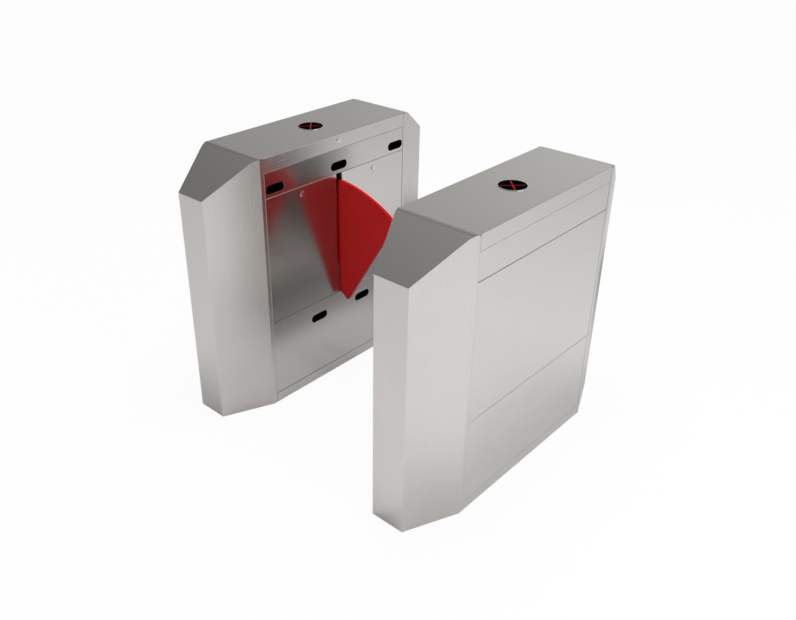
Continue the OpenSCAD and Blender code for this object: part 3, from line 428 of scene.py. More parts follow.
# %% Give every CAD piece its finish
slots = {part["node"]: part["material_slot"] for part in frame["record"]["subparts"]}
BODY_OF = {node: body for body, nodes in frame["record"]["behaviour"]["bodies"].items()
           for node in nodes}
PASSAGE_PARTS = ("sensor_band", "lower_panel", "front_door", "rear_door")


def finish_of(node):
    """The material of a CAD node: by its slot, but stainless by place, and the arm dark."""
    if "cap" in node:
        return cap_steel
    if node.startswith(PASSAGE_PARTS):
        return passage_steel
    if node.startswith("flap_arm"):
        return FINISHES["dark_steel"]
    return FINISHES[slots[node]]


for name, obj in frame["nodes"].items():
    obj.data.materials.clear()
    obj.data.materials.append(finish_of(name))
print("dressed pieces:", len(slots))

# %% [markdown]
# ## Folded sheet
# A press brake leaves a round fold, and a sawn or cut edge is broken with a file. The packed
# solids have most of these edges sharp, so each sheet piece gets a dressed copy: its
# triangles are merged into whole faces, then its edges are bevelled. The folds round a panel
# get the wide radius of a bend, and cut edges a narrow one. That is what draws the thin dark
# and bright lines along the joints.

# %% Merge a piece, and round its edges
SHARP_DEG, FLAT_DEG, MERGE_MM = 35, 1, 0.01


def box(node):
    """Lowest and highest corner of a CAD node."""
    return [Vector(corner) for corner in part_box(node)]


def merged(node):
    """A bmesh of a CAD node's mesh, its triangles merged into whole faces."""
    shape = bmesh.new()
    shape.from_mesh(frame["nodes"][node].data)
    bmesh.ops.remove_doubles(shape, verts=shape.verts, dist=MERGE_MM * MM)
    bmesh.ops.dissolve_limit(shape, angle_limit=math.radians(FLAT_DEG), verts=shape.verts,
                             edges=shape.edges)
    return shape


def sharp(shape, chosen=lambda edge: True):
    """The sharp edges that chosen accepts."""
    return [edge for edge in shape.edges
            if edge.is_manifold and edge.calc_face_angle(0) > math.radians(SHARP_DEG)
            and chosen(edge)]


def bevel(shape, edges, width_mm, segments=1, clamp=True):
    """Bevels edges and returns the new points."""
    return bmesh.ops.bevel(shape, geom=edges, offset=width_mm * MM, segments=segments,
                           profile=0.5, affect="EDGES", clamp_overlap=clamp)["verts"]


shape = merged("outer_panel_right")
print("sharp edges of an outer panel:", len(sharp(shape)))
shape.free()

# %% Make a piece of a mesh
def harden(mesh):
    """Corner normals that follow the largest face nearby, so flat faces stay flat."""
    around = [[] for vertex in mesh.vertices]
    for face in mesh.polygons:
        face.use_smooth = True
        for vertex in face.vertices:
            around[vertex].append(face.index)
    normals = [face.normal.copy() for face in mesh.polygons]
    weights = [(face.area / MM ** 2) ** 2 for face in mesh.polygons]
    closest = math.cos(math.radians(SHARP_DEG))
    corners = []
    for face in mesh.polygons:
        for vertex in face.vertices:
            total = Vector()
            for other in around[vertex]:
                if normals[other].dot(face.normal) > closest:
                    total += normals[other] * weights[other]
            corners.append(total.normalized())
    mesh.normals_split_custom_set(corners)


def placed(name, mesh, body, slot, material=None):
    """Makes a piece of a mesh: hard normals, a finish, and a body that it rides on."""
    harden(mesh)
    mesh.materials.clear()
    mesh.materials.append(material or FINISHES[slot])
    piece = bpy.data.objects.new(name, mesh)
    scene.collection.objects.link(piece)
    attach(piece, body)
    return piece


def mesh_of(name, shape, turn_faces=True):
    """Turns a bmesh into a mesh, with its faces turned outwards if they may not be."""
    mesh = bpy.data.meshes.new(name)
    if turn_faces:
        bmesh.ops.recalc_face_normals(shape, faces=shape.faces)
    shape.to_mesh(mesh)
    shape.free()
    return mesh


print("edges stay hard over", SHARP_DEG, "degrees")

# %% Dressed copies of the sheet pieces
WALL_X = [box(f"{part}_{side}")[end].x for part, side, end in
          (("outer_panel", "left", 0), ("sensor_band", "left", 1),
           ("sensor_band", "right", 0), ("outer_panel", "right", 1))]
ON_RIM_MM = 0.05


def dress(node, cut_mm, rim_mm=0):
    """Replaces a CAD node: folds on its outline get rim_mm, all other edges cut_mm."""
    shape = merged(node)
    low, high = box(node)

    def on_rim(edge):
        """Whether an edge lies on the outline of a cabinet's outer wall."""
        middle = (edge.verts[0].co + edge.verts[1].co) / 2
        outer = min(abs(middle.x - x) for x in WALL_X) < ON_RIM_MM * MM
        border = min(abs(middle[axis] - corner[axis]) for axis in (1, 2)
                     for corner in (low, high)) < ON_RIM_MM * MM
        return outer and border

    if rim_mm:
        bevel(shape, sharp(shape, on_rim), rim_mm, 3, clamp=False)
    bevel(shape, sharp(shape, lambda edge: edge.calc_length() > 2 * cut_mm * MM), cut_mm)
    piece = placed(f"dressed_{node}", mesh_of(node, shape, turn_faces=False), BODY_OF[node],
                   slots[node], finish_of(node))
    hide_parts(node)
    return piece


SHEET_PARTS = ("sensor_band", "lower_panel", "outer_panel", "front_door", "rear_door", "lid",
               "front_cap", "rear_cap", "base_frame")
FOLD_MM, OUTER_FOLD_MM, CUT_MM = 1.6, 1.2, 0.25
sheets = []
for node in [f"{part}_{side}" for side in SIDES for part in SHEET_PARTS] + [
        "outer_bands", "outer_lower_panels"]:
    fold = OUTER_FOLD_MM if node.startswith("outer") else FOLD_MM
    rounded_in_cad = "cap" in node or node.startswith("lid")
    sheets.append(dress(node, CUT_MM, 0 if rounded_in_cad else fold))
caps = [sheet for sheet in sheets if "cap" in sheet.name]
print("faces on the dressed sheets:", sum(len(sheet.data.polygons) for sheet in sheets))

# %% [markdown]
# ## Sheets that lean
# Thin sheet is never dead flat, and a door hangs a few degrees off true in its frame. That
# moves what it mirrors, though its outline hardly shows it. Turning the sheets themselves
# would open gaps, so only the normals that shading works with are turned.

# %% Lean the front doors and the sensor bands
# Degrees sideways about Z, and degrees up or down about Y.
LEAN_DEG = {"front_door": (-2.3, 0.0), "sensor_band": (-4.0, 1.6)}


def reshade(mesh, change):
    """Sets new shading normals. Change gets a face and the normal at one of its corners."""
    mesh.normals_split_custom_set([
        change(face, Vector(mesh.corner_normals[corner].vector))
        for face in mesh.polygons for corner in face.loop_indices])


def leaning(turn, nod):
    """The change that turns every normal by these two angles."""
    def change(face, normal):
        away = math.copysign(1, normal.x)
        twist = Matrix.Rotation(math.radians(away * turn), 3, "Z")
        return twist @ Matrix.Rotation(math.radians(-away * nod), 3, "Y") @ normal
    return change


for sheet in sheets:
    for part, (turn, nod) in LEAN_DEG.items():
        if part in sheet.name:
            reshade(sheet.data, leaning(turn, nod))
print("leaning sheets:", sorted(LEAN_DEG))

# %% [markdown]
# ## Slopes of the end caps
# A cap's sloped top is ground down its fall, so its streaks run down the slope, and the light
# on it breaks in a clear line where it starts. Smooth shading would spread that line over the
# crease, so the crease takes the slope's normal.

# %% The slopes are ground down their own fall
SLOPE_Z, CREASE_Z, UPRIGHT_X = (0.2, 0.97), 0.995, 0.02
slope_faces = [face for cap in caps for face in cap.data.polygons
               if SLOPE_Z[0] < face.normal.z < SLOPE_Z[1]]
steepest = max(slope_faces, key=lambda face: face.area).normal.copy()
fall = math.atan2(abs(steepest.y), steepest.z)
# The same sheet, a little paler: a painted highlight for the light that falls along its
# streaks.
slope_steel = brushed_steel("satin_stainless_slopes", "#D8D6D3", 0.27, "y", fall=fall)
for cap in caps:
    cap.data.materials.append(slope_steel)
for face in slope_faces:
    face.material_index = 1


def straight(face, normal):
    """The slope's normal on the slope and its crease, and the old one elsewhere."""
    if SLOPE_Z[0] < face.normal.z < CREASE_Z and abs(face.normal.x) < UPRIGHT_X:
        return Vector((0, math.copysign(steepest.y, face.normal.y), steepest.z))
    return normal


for cap in caps:
    reshade(cap.data, straight)
print("slope in degrees:", round(math.degrees(fall), 1))

# %% [markdown]
# ## The sheet's inner face
# Only the side that people see is ground. Inside, the sheet keeps the dull grey skin that it
# got in the rolling mill, which scatters light more. Each dressed sheet could be split in two
# pieces, but it is simpler to give the faces that look into their cabinet a second material.

# %% Mill finish inside
MILL_STREAK_MM = (30.0, 4.0)
# Rolled and never ground: dull, with short coarse streaks.
mill_steel = brushed_steel("mill_finish_stainless", "#B4B2AF", 0.46, "y", MILL_STREAK_MM, 0.01)
lid_low, lid_high = box("lid_right")
cabinet_x, cabinet_z = (lid_low.x + lid_high.x) / 2, lid_high.z / 2
inner_faces = 0
for sheet in sheets:
    sheet.data.materials.append(mill_steel)
    for face in sheet.data.polygons:
        middle = Vector((math.copysign(cabinet_x, face.center.x), 0, cabinet_z))
        if face.normal.dot(face.center - middle) < 0:
            face.material_index = len(sheet.data.materials) - 1
            inner_faces += 1
print("faces with mill finish:", inner_faces)

# %% [markdown]
# ## Everything sawn, turned or moulded
# The flaps are sawn from acrylic and polished along the edge, lenses and buffers come out of
# a mould, shafts, gears and locks off a lathe or a mill. None of them has a truly sharp edge.
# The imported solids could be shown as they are, but a small bevel catches the light along each
# rim and makes them look made, so they are dressed like the sheets, each with the radius that
# its process leaves.

# %% Dressed copies of the other pieces
EDGE_MM = {
    "flap": 2.0, "flap_arm": 0.4, "frame": 0.4, "mechanism_frame": 0.5, "sector_gear": 0.3,
    "pinion": 0.25, "lamp_bezel": 0.25, "lamp_lens": 0.4, "lamp_cross": 0.2,
    "lid_barrel": 0.2, "front_barrel": 0.2, "rear_barrel": 0.2, "lid_lock": 0.2,
    "front_lock": 0.2, "rear_lock": 0.2, "sensor_lenses": 0.4, "sensor_modules": 0.6,
    "shaft_bearings": 0.5, "stop_buffers": 1.0, "gear_motors": 1.0, "control_boards": 0.25,
    "power_supplies": 0.4, "cable_glands": 0.6, "lid_hinges": 0.4, "foot_screws": 0.4,
}
dressed = {}
for part, edge_mm in EDGE_MM.items():
    for node in [part] if part in frame["nodes"] else [f"{part}_{side}" for side in SIDES]:
        dressed[node] = dress(node, edge_mm)
print("dressed pieces:", len(dressed))

# %% [markdown]
# ## Board and components
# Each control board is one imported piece, but its relays and its processor are black plastic
# and its spacers are plated, on a green lacquered board. A second piece for each would do,
# but it is simpler to sort the faces by how far they stand in front of the board.

# %% Sort the faces of the control boards
STANDOFF_MM, BOARD_MM, BOARD_PLAY_MM = 8.0, 1.6, 0.3
boards = dressed["control_boards"].data
for slot in ("black_plastic", "bright_steel"):
    boards.materials.append(FINISHES[slot])
rack_x = box("power_supplies")[1].x
for face in boards.polygons:
    in_front = (rack_x - abs(face.center.x)) / MM
    if in_front > STANDOFF_MM + BOARD_MM + BOARD_PLAY_MM:
        face.material_index = 1
    elif in_front < STANDOFF_MM - BOARD_PLAY_MM:
        face.material_index = 2
print("black faces:", sum(face.material_index == 1 for face in boards.polygons))

# %% [markdown]
# ## What repeats
# Screws, weld beads, terminals and cooling fins are one small shape many times over. They
# could be placed one by one, but Geometry Nodes says it once: a few points tell where, two
# directions at each point tell how it is turned, and the tree's named inputs give the sizes.
# A tree ends by making real geometry of its instances and giving it its material. Its inputs
# are set by their identifiers, before it first runs.

# %% How a tree starts and ends
def new_tree(name, **sizes):
    """A geometry tree with named inputs. Returns it and the inputs' sockets."""
    tree = bpy.data.node_groups.new(name, "GeometryNodeTree")
    face = tree.interface
    face.new_socket("Base", in_out="INPUT", socket_type="NodeSocketGeometry")
    for label, value in sizes.items():
        kind = "NodeSocketInt" if isinstance(value, int) else "NodeSocketFloat"
        face.new_socket(label, in_out="INPUT", socket_type=kind).default_value = value
    face.new_socket("Finish", in_out="INPUT", socket_type="NodeSocketMaterial")
    face.new_socket("Result", in_out="OUTPUT", socket_type="NodeSocketGeometry")
    return tree, add(tree, "NodeGroupInput").outputs


def end_tree(tree, sockets, instances):
    """Real geometry and a material, as every tree ends."""
    real = add(tree, "GeometryNodeRealizeInstances", Geometry=instances)
    done = add(tree, "GeometryNodeSetMaterial", Geometry=real.outputs[0],
               Material=sockets["Finish"])
    add(tree, "NodeGroupOutput", Result=done.outputs[0])


def place_on_spots(tree, sockets, shape):
    """Puts a shape on every point, its Z along the point's aim and its X along its run."""
    turned = {}
    for axis, pivot, label in (("Z", "AUTO", "aim"), ("X", "Z", "run")):
        vector = add(tree, "GeometryNodeInputNamedAttribute", {"data_type": "FLOAT_VECTOR"},
                     Name=label)
        align = add(tree, "FunctionNodeAlignRotationToVector",
                    {"axis": axis, "pivot_axis": pivot}, Vector=vector.outputs["Attribute"],
                    **turned)
        turned = {"Rotation": align.outputs[0]}
    spots = add(tree, "GeometryNodeInstanceOnPoints", Points=sockets["Base"], Instance=shape,
                **turned)
    end_tree(tree, sockets, spots.outputs[0])


print("a shape's Z follows the aim of its spot, its X the run")

# %% Run a tree and make a piece of what it grows
X, Y, Z = Vector((1, 0, 0)), Vector((0, 1, 0)), Vector((0, 0, 1))
IN = -X


def run_tree(name, tree, base, body, slot, material=None, **sizes_mm):
    """Runs a tree on a base mesh and makes a piece of the result."""
    material = material or FINISHES[slot]
    carrier = bpy.data.objects.new(f"{name}_carrier", base)
    scene.collection.objects.link(carrier)
    modifier = carrier.modifiers.new("grow", "NODES")
    modifier.node_group = tree
    for socket in tree.interface.items_tree:
        if socket.name in sizes_mm:
            modifier[socket.identifier] = sizes_mm[socket.name] * MM
        elif socket.name == "Finish":
            modifier[socket.identifier] = material
    graph = bpy.context.evaluated_depsgraph_get()
    mesh = bpy.data.meshes.new_from_object(carrier.evaluated_get(graph))
    mesh.name = name
    carrier.modifiers.remove(modifier)
    bpy.data.objects.remove(carrier)
    return placed(name, mesh, body, slot, material)


def mirrored(spots, side):
    """Spots drawn for the right cabinet, on the side that is asked for."""
    turn = 1 if side == "right" else -1
    return [tuple(Vector((turn * v[0], v[1], v[2])) for v in spot) for spot in spots]


def grow(name, tree, spots, slot="bright_steel", material=None, body="cabinets", sides=SIDES,
         **sizes_mm):
    """Grows a tree on spots of place, aim and run, which are given for the right cabinet."""
    spots = [spot for side in sides for spot in mirrored(spots, side)]
    points = bpy.data.meshes.new(f"{name}_spots")
    points.from_pydata([spot[0] for spot in spots], [], [])
    for label, index in (("aim", 1), ("run", 2)):
        values = [number for spot in spots for number in spot[index]]
        points.attributes.new(label, "FLOAT_VECTOR", "POINT").data.foreach_set("vector", values)
    return run_tree(name, tree, points, body, slot, material, **sizes_mm)


print("a spot on the left:", mirrored([(X, Z, Y)], "left")[0][0])

# %% [markdown]
# ## Screws
# A screw shows its head, on a washer or a flange. The head is a cylinder with as many sides
# as the kind has, its top pulled up into a chamfer and, for a socket screw, pressed in again.
# It is made one unit wide and high, and the tree stretches it to the size that is asked for.

# %% Tree: screws with a chamfered head and a washer
# How far the top is pulled up, as a share of the height, and what share of its width stays.
CHAMFER_STEP, SOCKET_DEEP, WASHER_SIDES = (0.2, 0.84), -0.6, 20


def screw_tree(name, sides, socket_share=0.0):
    """A head of so many sides, with a round socket in it if a share is given."""
    tree, sockets = new_tree(name, Across=0.008, Height=0.004, Washer=0.010, Sheet=0.001)
    head = add(tree, "GeometryNodeMeshCylinder", Vertices=sides, Radius=0.5, Depth=1.0)
    mesh, top = head.outputs["Mesh"], head.outputs["Top"]
    steps = [CHAMFER_STEP]
    if socket_share:
        steps += [(0.0, socket_share), (SOCKET_DEEP, 1.0)]
    for rise, scale in steps:
        pulled = add(tree, "GeometryNodeExtrudeMesh", Mesh=mesh, Selection=top,
                     Offset_Scale=rise, Individual=False)
        sized = add(tree, "GeometryNodeScaleElements", Geometry=pulled.outputs["Mesh"],
                    Selection=pulled.outputs["Top"], Scale=scale)
        mesh, top = sized.outputs[0], pulled.outputs["Top"]
    ring = add(tree, "GeometryNodeMeshCylinder", Vertices=WASHER_SIDES, Radius=0.5, Depth=1.0)
    whole = add(tree, "GeometryNodeJoinGeometry")
    for part, wide, high, foot in (
            (ring.outputs["Mesh"], sockets["Washer"], sockets["Sheet"], 0.0),
            (mesh, sockets["Across"], sockets["Height"], sockets["Sheet"])):
        stood = add(tree, "GeometryNodeTransform", Geometry=part, Translation=(0, 0, 0.5))
        size = add(tree, "ShaderNodeCombineXYZ", X=wide, Y=wide, Z=high)
        lift = add(tree, "ShaderNodeCombineXYZ", Z=foot)
        stretched = add(tree, "GeometryNodeTransform", Geometry=stood.outputs[0],
                        Translation=lift.outputs[0], Scale=size.outputs[0])
        tree.links.new(stretched.outputs[0], whole.inputs[0])
    place_on_spots(tree, sockets, whole.outputs[0])
    return tree


HEX_SCREW = screw_tree("hexagon_screws", 6)
CAP_SCREW = screw_tree("socket_screws", 18, 0.55)
PAN_SCREW = screw_tree("round_screws", 16)
print("screws:", HEX_SCREW.name, CAP_SCREW.name, PAN_SCREW.name)

# %% [markdown]
# ## Blocks
# Terminals, fins, duct fingers and chip legs are all small blocks with a chamfered end. A
# plain box would look like a toy brick, so the tree pulls its top up once more and narrows
# it, which gives each a bright rim.

# %% Tree: blocks with a chamfered top
def block_tree():
    """Blocks for terminals, fins, fingers and chips: X along the run, Z along the aim."""
    tree, sockets = new_tree("blocks", Along=0.010, Wide=0.005, High=0.005, Chamfer=0.0004)
    straight_part = add(tree, "ShaderNodeMath", {"operation": "SUBTRACT"}, i0=sockets["High"],
                        i1=sockets["Chamfer"])
    size = add(tree, "ShaderNodeCombineXYZ", X=sockets["Along"], Y=sockets["Wide"],
               Z=straight_part.outputs[0])
    cube = add(tree, "GeometryNodeMeshCube", Size=size.outputs[0])
    normal = add(tree, "GeometryNodeInputNormal").outputs[0]
    facing = add(tree, "ShaderNodeSeparateXYZ", Vector=normal)
    top = add(tree, "FunctionNodeCompare", {"operation": "GREATER_THAN"},
              i0=facing.outputs["Z"], i1=0.5)
    pulled = add(tree, "GeometryNodeExtrudeMesh", Mesh=cube.outputs["Mesh"],
                 Selection=top.outputs[0], Offset_Scale=sockets["Chamfer"], Individual=False)
    slope = add(tree, "ShaderNodeMath", {"operation": "DIVIDE"}, i0=sockets["Chamfer"],
                i1=sockets["Wide"])
    share = add(tree, "ShaderNodeMath", {"operation": "MULTIPLY_ADD"}, i0=slope.outputs[0],
                i1=-2.0, i2=1.0)
    sized = add(tree, "GeometryNodeScaleElements", Geometry=pulled.outputs["Mesh"],
                Selection=pulled.outputs["Top"], Scale=share.outputs[0])
    half = add(tree, "ShaderNodeMath", {"operation": "MULTIPLY"}, i0=sockets["High"], i1=0.5)
    lift = add(tree, "ShaderNodeCombineXYZ", Z=half.outputs[0])
    stood = add(tree, "GeometryNodeTransform", Geometry=sized.outputs[0],
                Translation=lift.outputs[0])
    place_on_spots(tree, sockets, stood.outputs[0])
    return tree


BLOCKS = block_tree()
print("nodes in the tree for blocks:", len(BLOCKS.nodes))

# %% [markdown]
# ## Where things are
# A row of screws belongs where the CAD has its plate, so places are measured on the packed
# solids and never typed in. A piece may hold several solids, so they are told apart by
# following their edges.

# %% The solids of a piece
def solids(node):
    """Lowest and highest corner of each separate solid of the right cabinet's pieces."""
    shape = merged(node)
    left = set(shape.verts)
    boxes = []
    for start in shape.verts:
        if start not in left:
            continue
        left.remove(start)
        group = [start]
        for vertex in group:
            for edge in vertex.link_edges:
                other = edge.other_vert(vertex)
                if other in left:
                    left.remove(other)
                    group.append(other)
        boxes.append(tuple(Vector([pick(v.co[i] for v in group) for i in range(3)])
                           for pick in (min, max)))
    shape.free()
    return sorted((corners for corners in boxes if corners[0].x > 0),
                  key=lambda corners: tuple(corners[0]))


print("solids in the frame:", len(solids("frame_right")))

# %% [markdown]
# ## Drive
# Flange bearings are screwed on with four socket screws and have a grease nipple. The gear
# motor hangs on a square flange with a screw in each corner, and sheds its heat through
# ribs along its barrel. The flange is one rounded plate; screws and ribs are grown.

# %% Bearing screws and grease nipples
SCREW_RING_SHARE, NIPPLE_BACK_MM, NIPPLE_SUNK_MM = 0.875, 3.0, 0.5


def outwards(degrees, second=Z):
    """The direction that lies so many degrees from X towards a second axis."""
    turn = math.radians(degrees)
    return math.cos(turn) * X + math.sin(turn) * second


def four_round(centre, radius, away=1):
    """Four spots round a centre in a plane across Y, aimed away along Y."""
    return [(centre + radius * outwards(degrees), away * Y, X)
            for degrees in (45, 135, 225, 315)]


bearing_screws, nipples = [], []
for low, high in solids("shaft_bearings"):
    middle = (low + high) / 2
    away = math.copysign(1, low.y)
    bearing_screws += four_round(middle, SCREW_RING_SHARE * (high.z - low.z) / 2, away)
    nipples.append((Vector((middle.x, middle.y - NIPPLE_BACK_MM * MM * away,
                            high.z - NIPPLE_SUNK_MM * MM)), Z, X))
grow("bearing_screws", CAP_SCREW, bearing_screws, Across=5, Height=3, Washer=5.6, Sheet=0.5)
grow("grease_nipples", HEX_SCREW, nipples, "brass", Across=6, Height=6, Washer=4, Sheet=2)
print("bearing screws in each cabinet:", len(bearing_screws))

# %% Motor flanges, screws and ribs
CORNER_RAD = 1.2
FLANGE_HALF_MM, FLANGE_T_MM, FLANGE_CORNER_MM, FLANGE_SCREW_MM = 35.0, 6.0, 6.0, 28.5
BARREL_MM, BARREL_FROM_MM, BARREL_L_MM = 27.0, 51.0, 66.0
RIB_SUNK_MM, RIB_DEG = 0.3, range(-216, 37, 12)
END_SCREW_MM, END_SUNK_MM = 16.0, 0.2


def blocks_piece(name, slot, boxes, corner_mm, edge_mm):
    """Blocks in both cabinets, their edges along Y rounded and the others broken."""
    shape = bmesh.new()
    for side in SIDES:
        for ends in mirrored(boxes, side):
            low, high = [Vector(map(pick, zip(*ends))) for pick in (min, max)]
            size = high - low
            turn = Matrix.Translation((low + high) / 2) @ Matrix.Diagonal((*size, 1))
            corners = bmesh.ops.create_cube(shape, size=1.0, matrix=turn)["verts"]
            if corner_mm:
                edges = {edge for vertex in corners for edge in vertex.link_edges}
                along = [edge for edge in edges
                         if abs(edge.verts[0].co.y - edge.verts[1].co.y) > size.y / 2]
                corners = bevel(shape, along, corner_mm, 4, clamp=False)
            faces = {face for vertex in corners for face in vertex.link_faces}
            rim = {edge for face in faces for edge in face.edges
                   if edge.calc_face_angle(0) > CORNER_RAD}
            bevel(shape, list(rim), edge_mm)
    return placed(name, mesh_of(name, shape), "cabinets", slot)


low, high = solids("gear_motors")[0]
axis_at = Vector(((low.x + high.x) / 2, low.y, low.z + (high.x - low.x) / 2))
half = Vector((FLANGE_HALF_MM, 0, FLANGE_HALF_MM)) * MM
flange_face = axis_at + FLANGE_T_MM * MM * Y
blocks_piece("motor_flanges", "aluminium", [(axis_at - half, flange_face + half)],
             corner_mm=FLANGE_CORNER_MM, edge_mm=0.4)
grow("motor_screws", CAP_SCREW, four_round(flange_face, FLANGE_SCREW_MM * math.sqrt(2) * MM),
     Across=8.5, Height=5, Washer=10, Sheet=1)
barrel_mid = axis_at + (BARREL_FROM_MM + BARREL_L_MM / 2) * MM * Y
rib_r = (BARREL_MM - RIB_SUNK_MM) * MM
ribs = [(barrel_mid + rib_r * outwards(degrees), outwards(degrees), Y) for degrees in RIB_DEG]
grow("motor_ribs", BLOCKS, ribs, "motor_paint", Along=BARREL_L_MM, Wide=1.4, High=2.6,
     Chamfer=0.3)
end_at = Vector((axis_at.x, high.y - END_SUNK_MM * MM, axis_at.z))
grow("motor_end_screws", PAN_SCREW, four_round(end_at, END_SCREW_MM * MM), Across=6,
     Height=2.2, Washer=7, Sheet=0.5)
print("ribs on each motor:", len(ribs))

# %% [markdown]
# ## Clamped flap
# Bolts clamp the acrylic between the cheeks of its arm. Their places could be typed in, but
# the arm's solid has the shanks, whose flat ends tell where the heads go, so the heads follow
# when the arm changes. They ride on the flap's body, because they swing with it.

# %% Bolts that clamp the flap in its arm
BOLT_END_MM, BOLT_OUT_MM, BOLT_PLAY_MM, FACING = 13.0, 3.0, 0.1, 0.99
shape = merged("flap_arm_right")
bolts = []
for face in shape.faces:
    away = math.copysign(1, face.normal.y)
    middle = face.calc_center_median()
    at_end = abs(away * middle.y - BOLT_END_MM * MM) < BOLT_PLAY_MM * MM
    if at_end and abs(face.normal.y) > FACING:
        bolts.append((middle - BOLT_OUT_MM * MM * away * Y, away * Y, X))
shape.free()
for side in SIDES:
    grow(f"flap_bolts_{side}", CAP_SCREW, bolts, body=f"flap_{side}", sides=[side],
         Across=8.5, Height=2.2, Washer=9.5, Sheet=0.6)
print("bolt heads on each arm:", len(bolts))

# %% [markdown]
# ## Electrics
# The equipment plate carries a control board on spacers, a power supply with a perforated
# top, a slotted wiring duct between the two and a terminal strip on a rail. Each part could
# be drawn in full, but they are small and sit behind doors, so duct fingers, terminals and
# chip legs are the same chamfered block in different sizes.

# %% Wiring duct
DUCT_H_MM, DUCT_D_MM, DUCT_WALL_MM, FINGER_PITCH_MM = 30.0, 30.0, 1.4, 9.0
COVER_T_MM, COVER_OVER_MM, DUCT_END_MM = 1.6, 1.0, 6.0
PLATE_THIN_M, PLATE_LEAST_M = 0.003, 0.3
plate_low, plate_high = next(
    (low, high) for low, high in solids("frame_right")
    if high.x - low.x < PLATE_THIN_M and high.z - low.z > PLATE_LEAST_M)
supply_low, supply_high = solids("power_supplies")[0]
board_low, board_high = solids("control_boards")[0]
plate_x = plate_low.x
from_y, to_y = plate_low.y + DUCT_END_MM * MM, plate_high.y - DUCT_END_MM * MM
wall_x, cover_x = plate_x - DUCT_WALL_MM * MM, plate_x - DUCT_D_MM * MM
duct_z = (supply_high.z + board_low.z) / 2
duct_half = DUCT_H_MM / 2 * MM
cover_half = duct_half + COVER_OVER_MM * MM
blocks_piece("wiring_duct", "black_plastic", [
    ((wall_x, from_y, duct_z - duct_half), (plate_x, to_y, duct_z + duct_half)),
    ((cover_x, from_y, duct_z - cover_half),
     (cover_x + COVER_T_MM * MM, to_y, duct_z + cover_half))], corner_mm=0.8, edge_mm=0.3)
fingers = []
for i in range(int((to_y - from_y) / (FINGER_PITCH_MM * MM))):
    y = from_y + (i + 0.5) * FINGER_PITCH_MM * MM
    for end in (-1, 1):
        z = duct_z + end * (duct_half - DUCT_WALL_MM / 2 * MM)
        fingers.append((Vector((wall_x, y, z)), IN, Y))
grow("duct_fingers", BLOCKS, fingers, "black_plastic", Along=5.5, Wide=DUCT_WALL_MM,
     High=DUCT_D_MM - 2 * DUCT_WALL_MM, Chamfer=0.1)
print("duct fingers:", len(fingers))

# %% Terminal strip on its rail
RAIL_D_MM = 7.5
CLAMPS, CLAMP_FROM_MM, CLAMP_PITCH_MM, CLAMP_D_MM, CLAMP_OUT_MM = 18, 10, 6.2, 38.0, 12.0
# The rail's folded section: from and to in front of the plate, then from and to in height.
RAIL_MM = ((1, 0, -13, 13), (RAIL_D_MM, 0.5, -14, -13), (RAIL_D_MM, 0.5, 13, 14),
           (RAIL_D_MM, RAIL_D_MM - 1, -17.5, -13), (RAIL_D_MM, RAIL_D_MM - 1, 13, 17.5))
rail_z = (board_high.z + plate_high.z) / 2
rail_boxes = [((plate_x - far * MM, from_y, rail_z + low * MM),
               (plate_x - near * MM, to_y, rail_z + high * MM))
              for far, near, low, high in RAIL_MM]
blocks_piece("terminal_rail", "bright_steel", rail_boxes, corner_mm=0, edge_mm=0.15)
terminals, clamps = [], []
for i in range(CLAMPS):
    y = from_y + (CLAMP_FROM_MM + i * CLAMP_PITCH_MM) * MM
    place = Vector((plate_x - RAIL_D_MM * MM, y, rail_z))
    terminals.append((place, IN, Z))
    for end in (-CLAMP_OUT_MM, CLAMP_OUT_MM):
        clamps.append((place + (CLAMP_D_MM * IN + end * Z) * MM, IN, Y))
# Polyamide, moulded: a dry mid grey.
terminal_grey = finish("polyamide_grey", "#8E9296", 0.5, speck_mm=1.0, bump=0.08)
grow("terminals", BLOCKS, terminals, "black_plastic", terminal_grey, Along=32, Wide=5.8,
     High=CLAMP_D_MM, Chamfer=0.8)
grow("terminal_screws", PAN_SCREW, clamps, Across=3.8, Height=0.8, Washer=4.2, Sheet=0.1)
print("terminals:", len(terminals))

# %% [markdown]
# ## Parts on the board
# A real board is crowded: screw terminals along its lower edge, capacitors, a processor with
# legs on all sides, small resistors and a row of lit diodes. Each kind is one of the trees
# above in its own size. The resistors are spread by a rule of remainders, which looks random
# and gives the same board each time.

# %% Terminals, capacitors and the processor's legs
def on_board(across, up_mm):
    """A place on the board's face: share of its width, and height above its lower edge."""
    return Vector((plate_x - (STANDOFF_MM + BOARD_MM) * MM,
                   board_low.y + across * (board_high.y - board_low.y),
                   board_low.z + up_mm * MM))


def raised(spots, out_mm):
    """The same spots, moved out along their aim."""
    return [(place + out_mm * MM * aim, aim, run) for place, aim, run in spots]


PLUGS, PLUG_FROM, PLUG_PITCH, PLUG_UP_MM, PLUG_D_MM = 12, 0.07, 0.0785, 8, 12.6
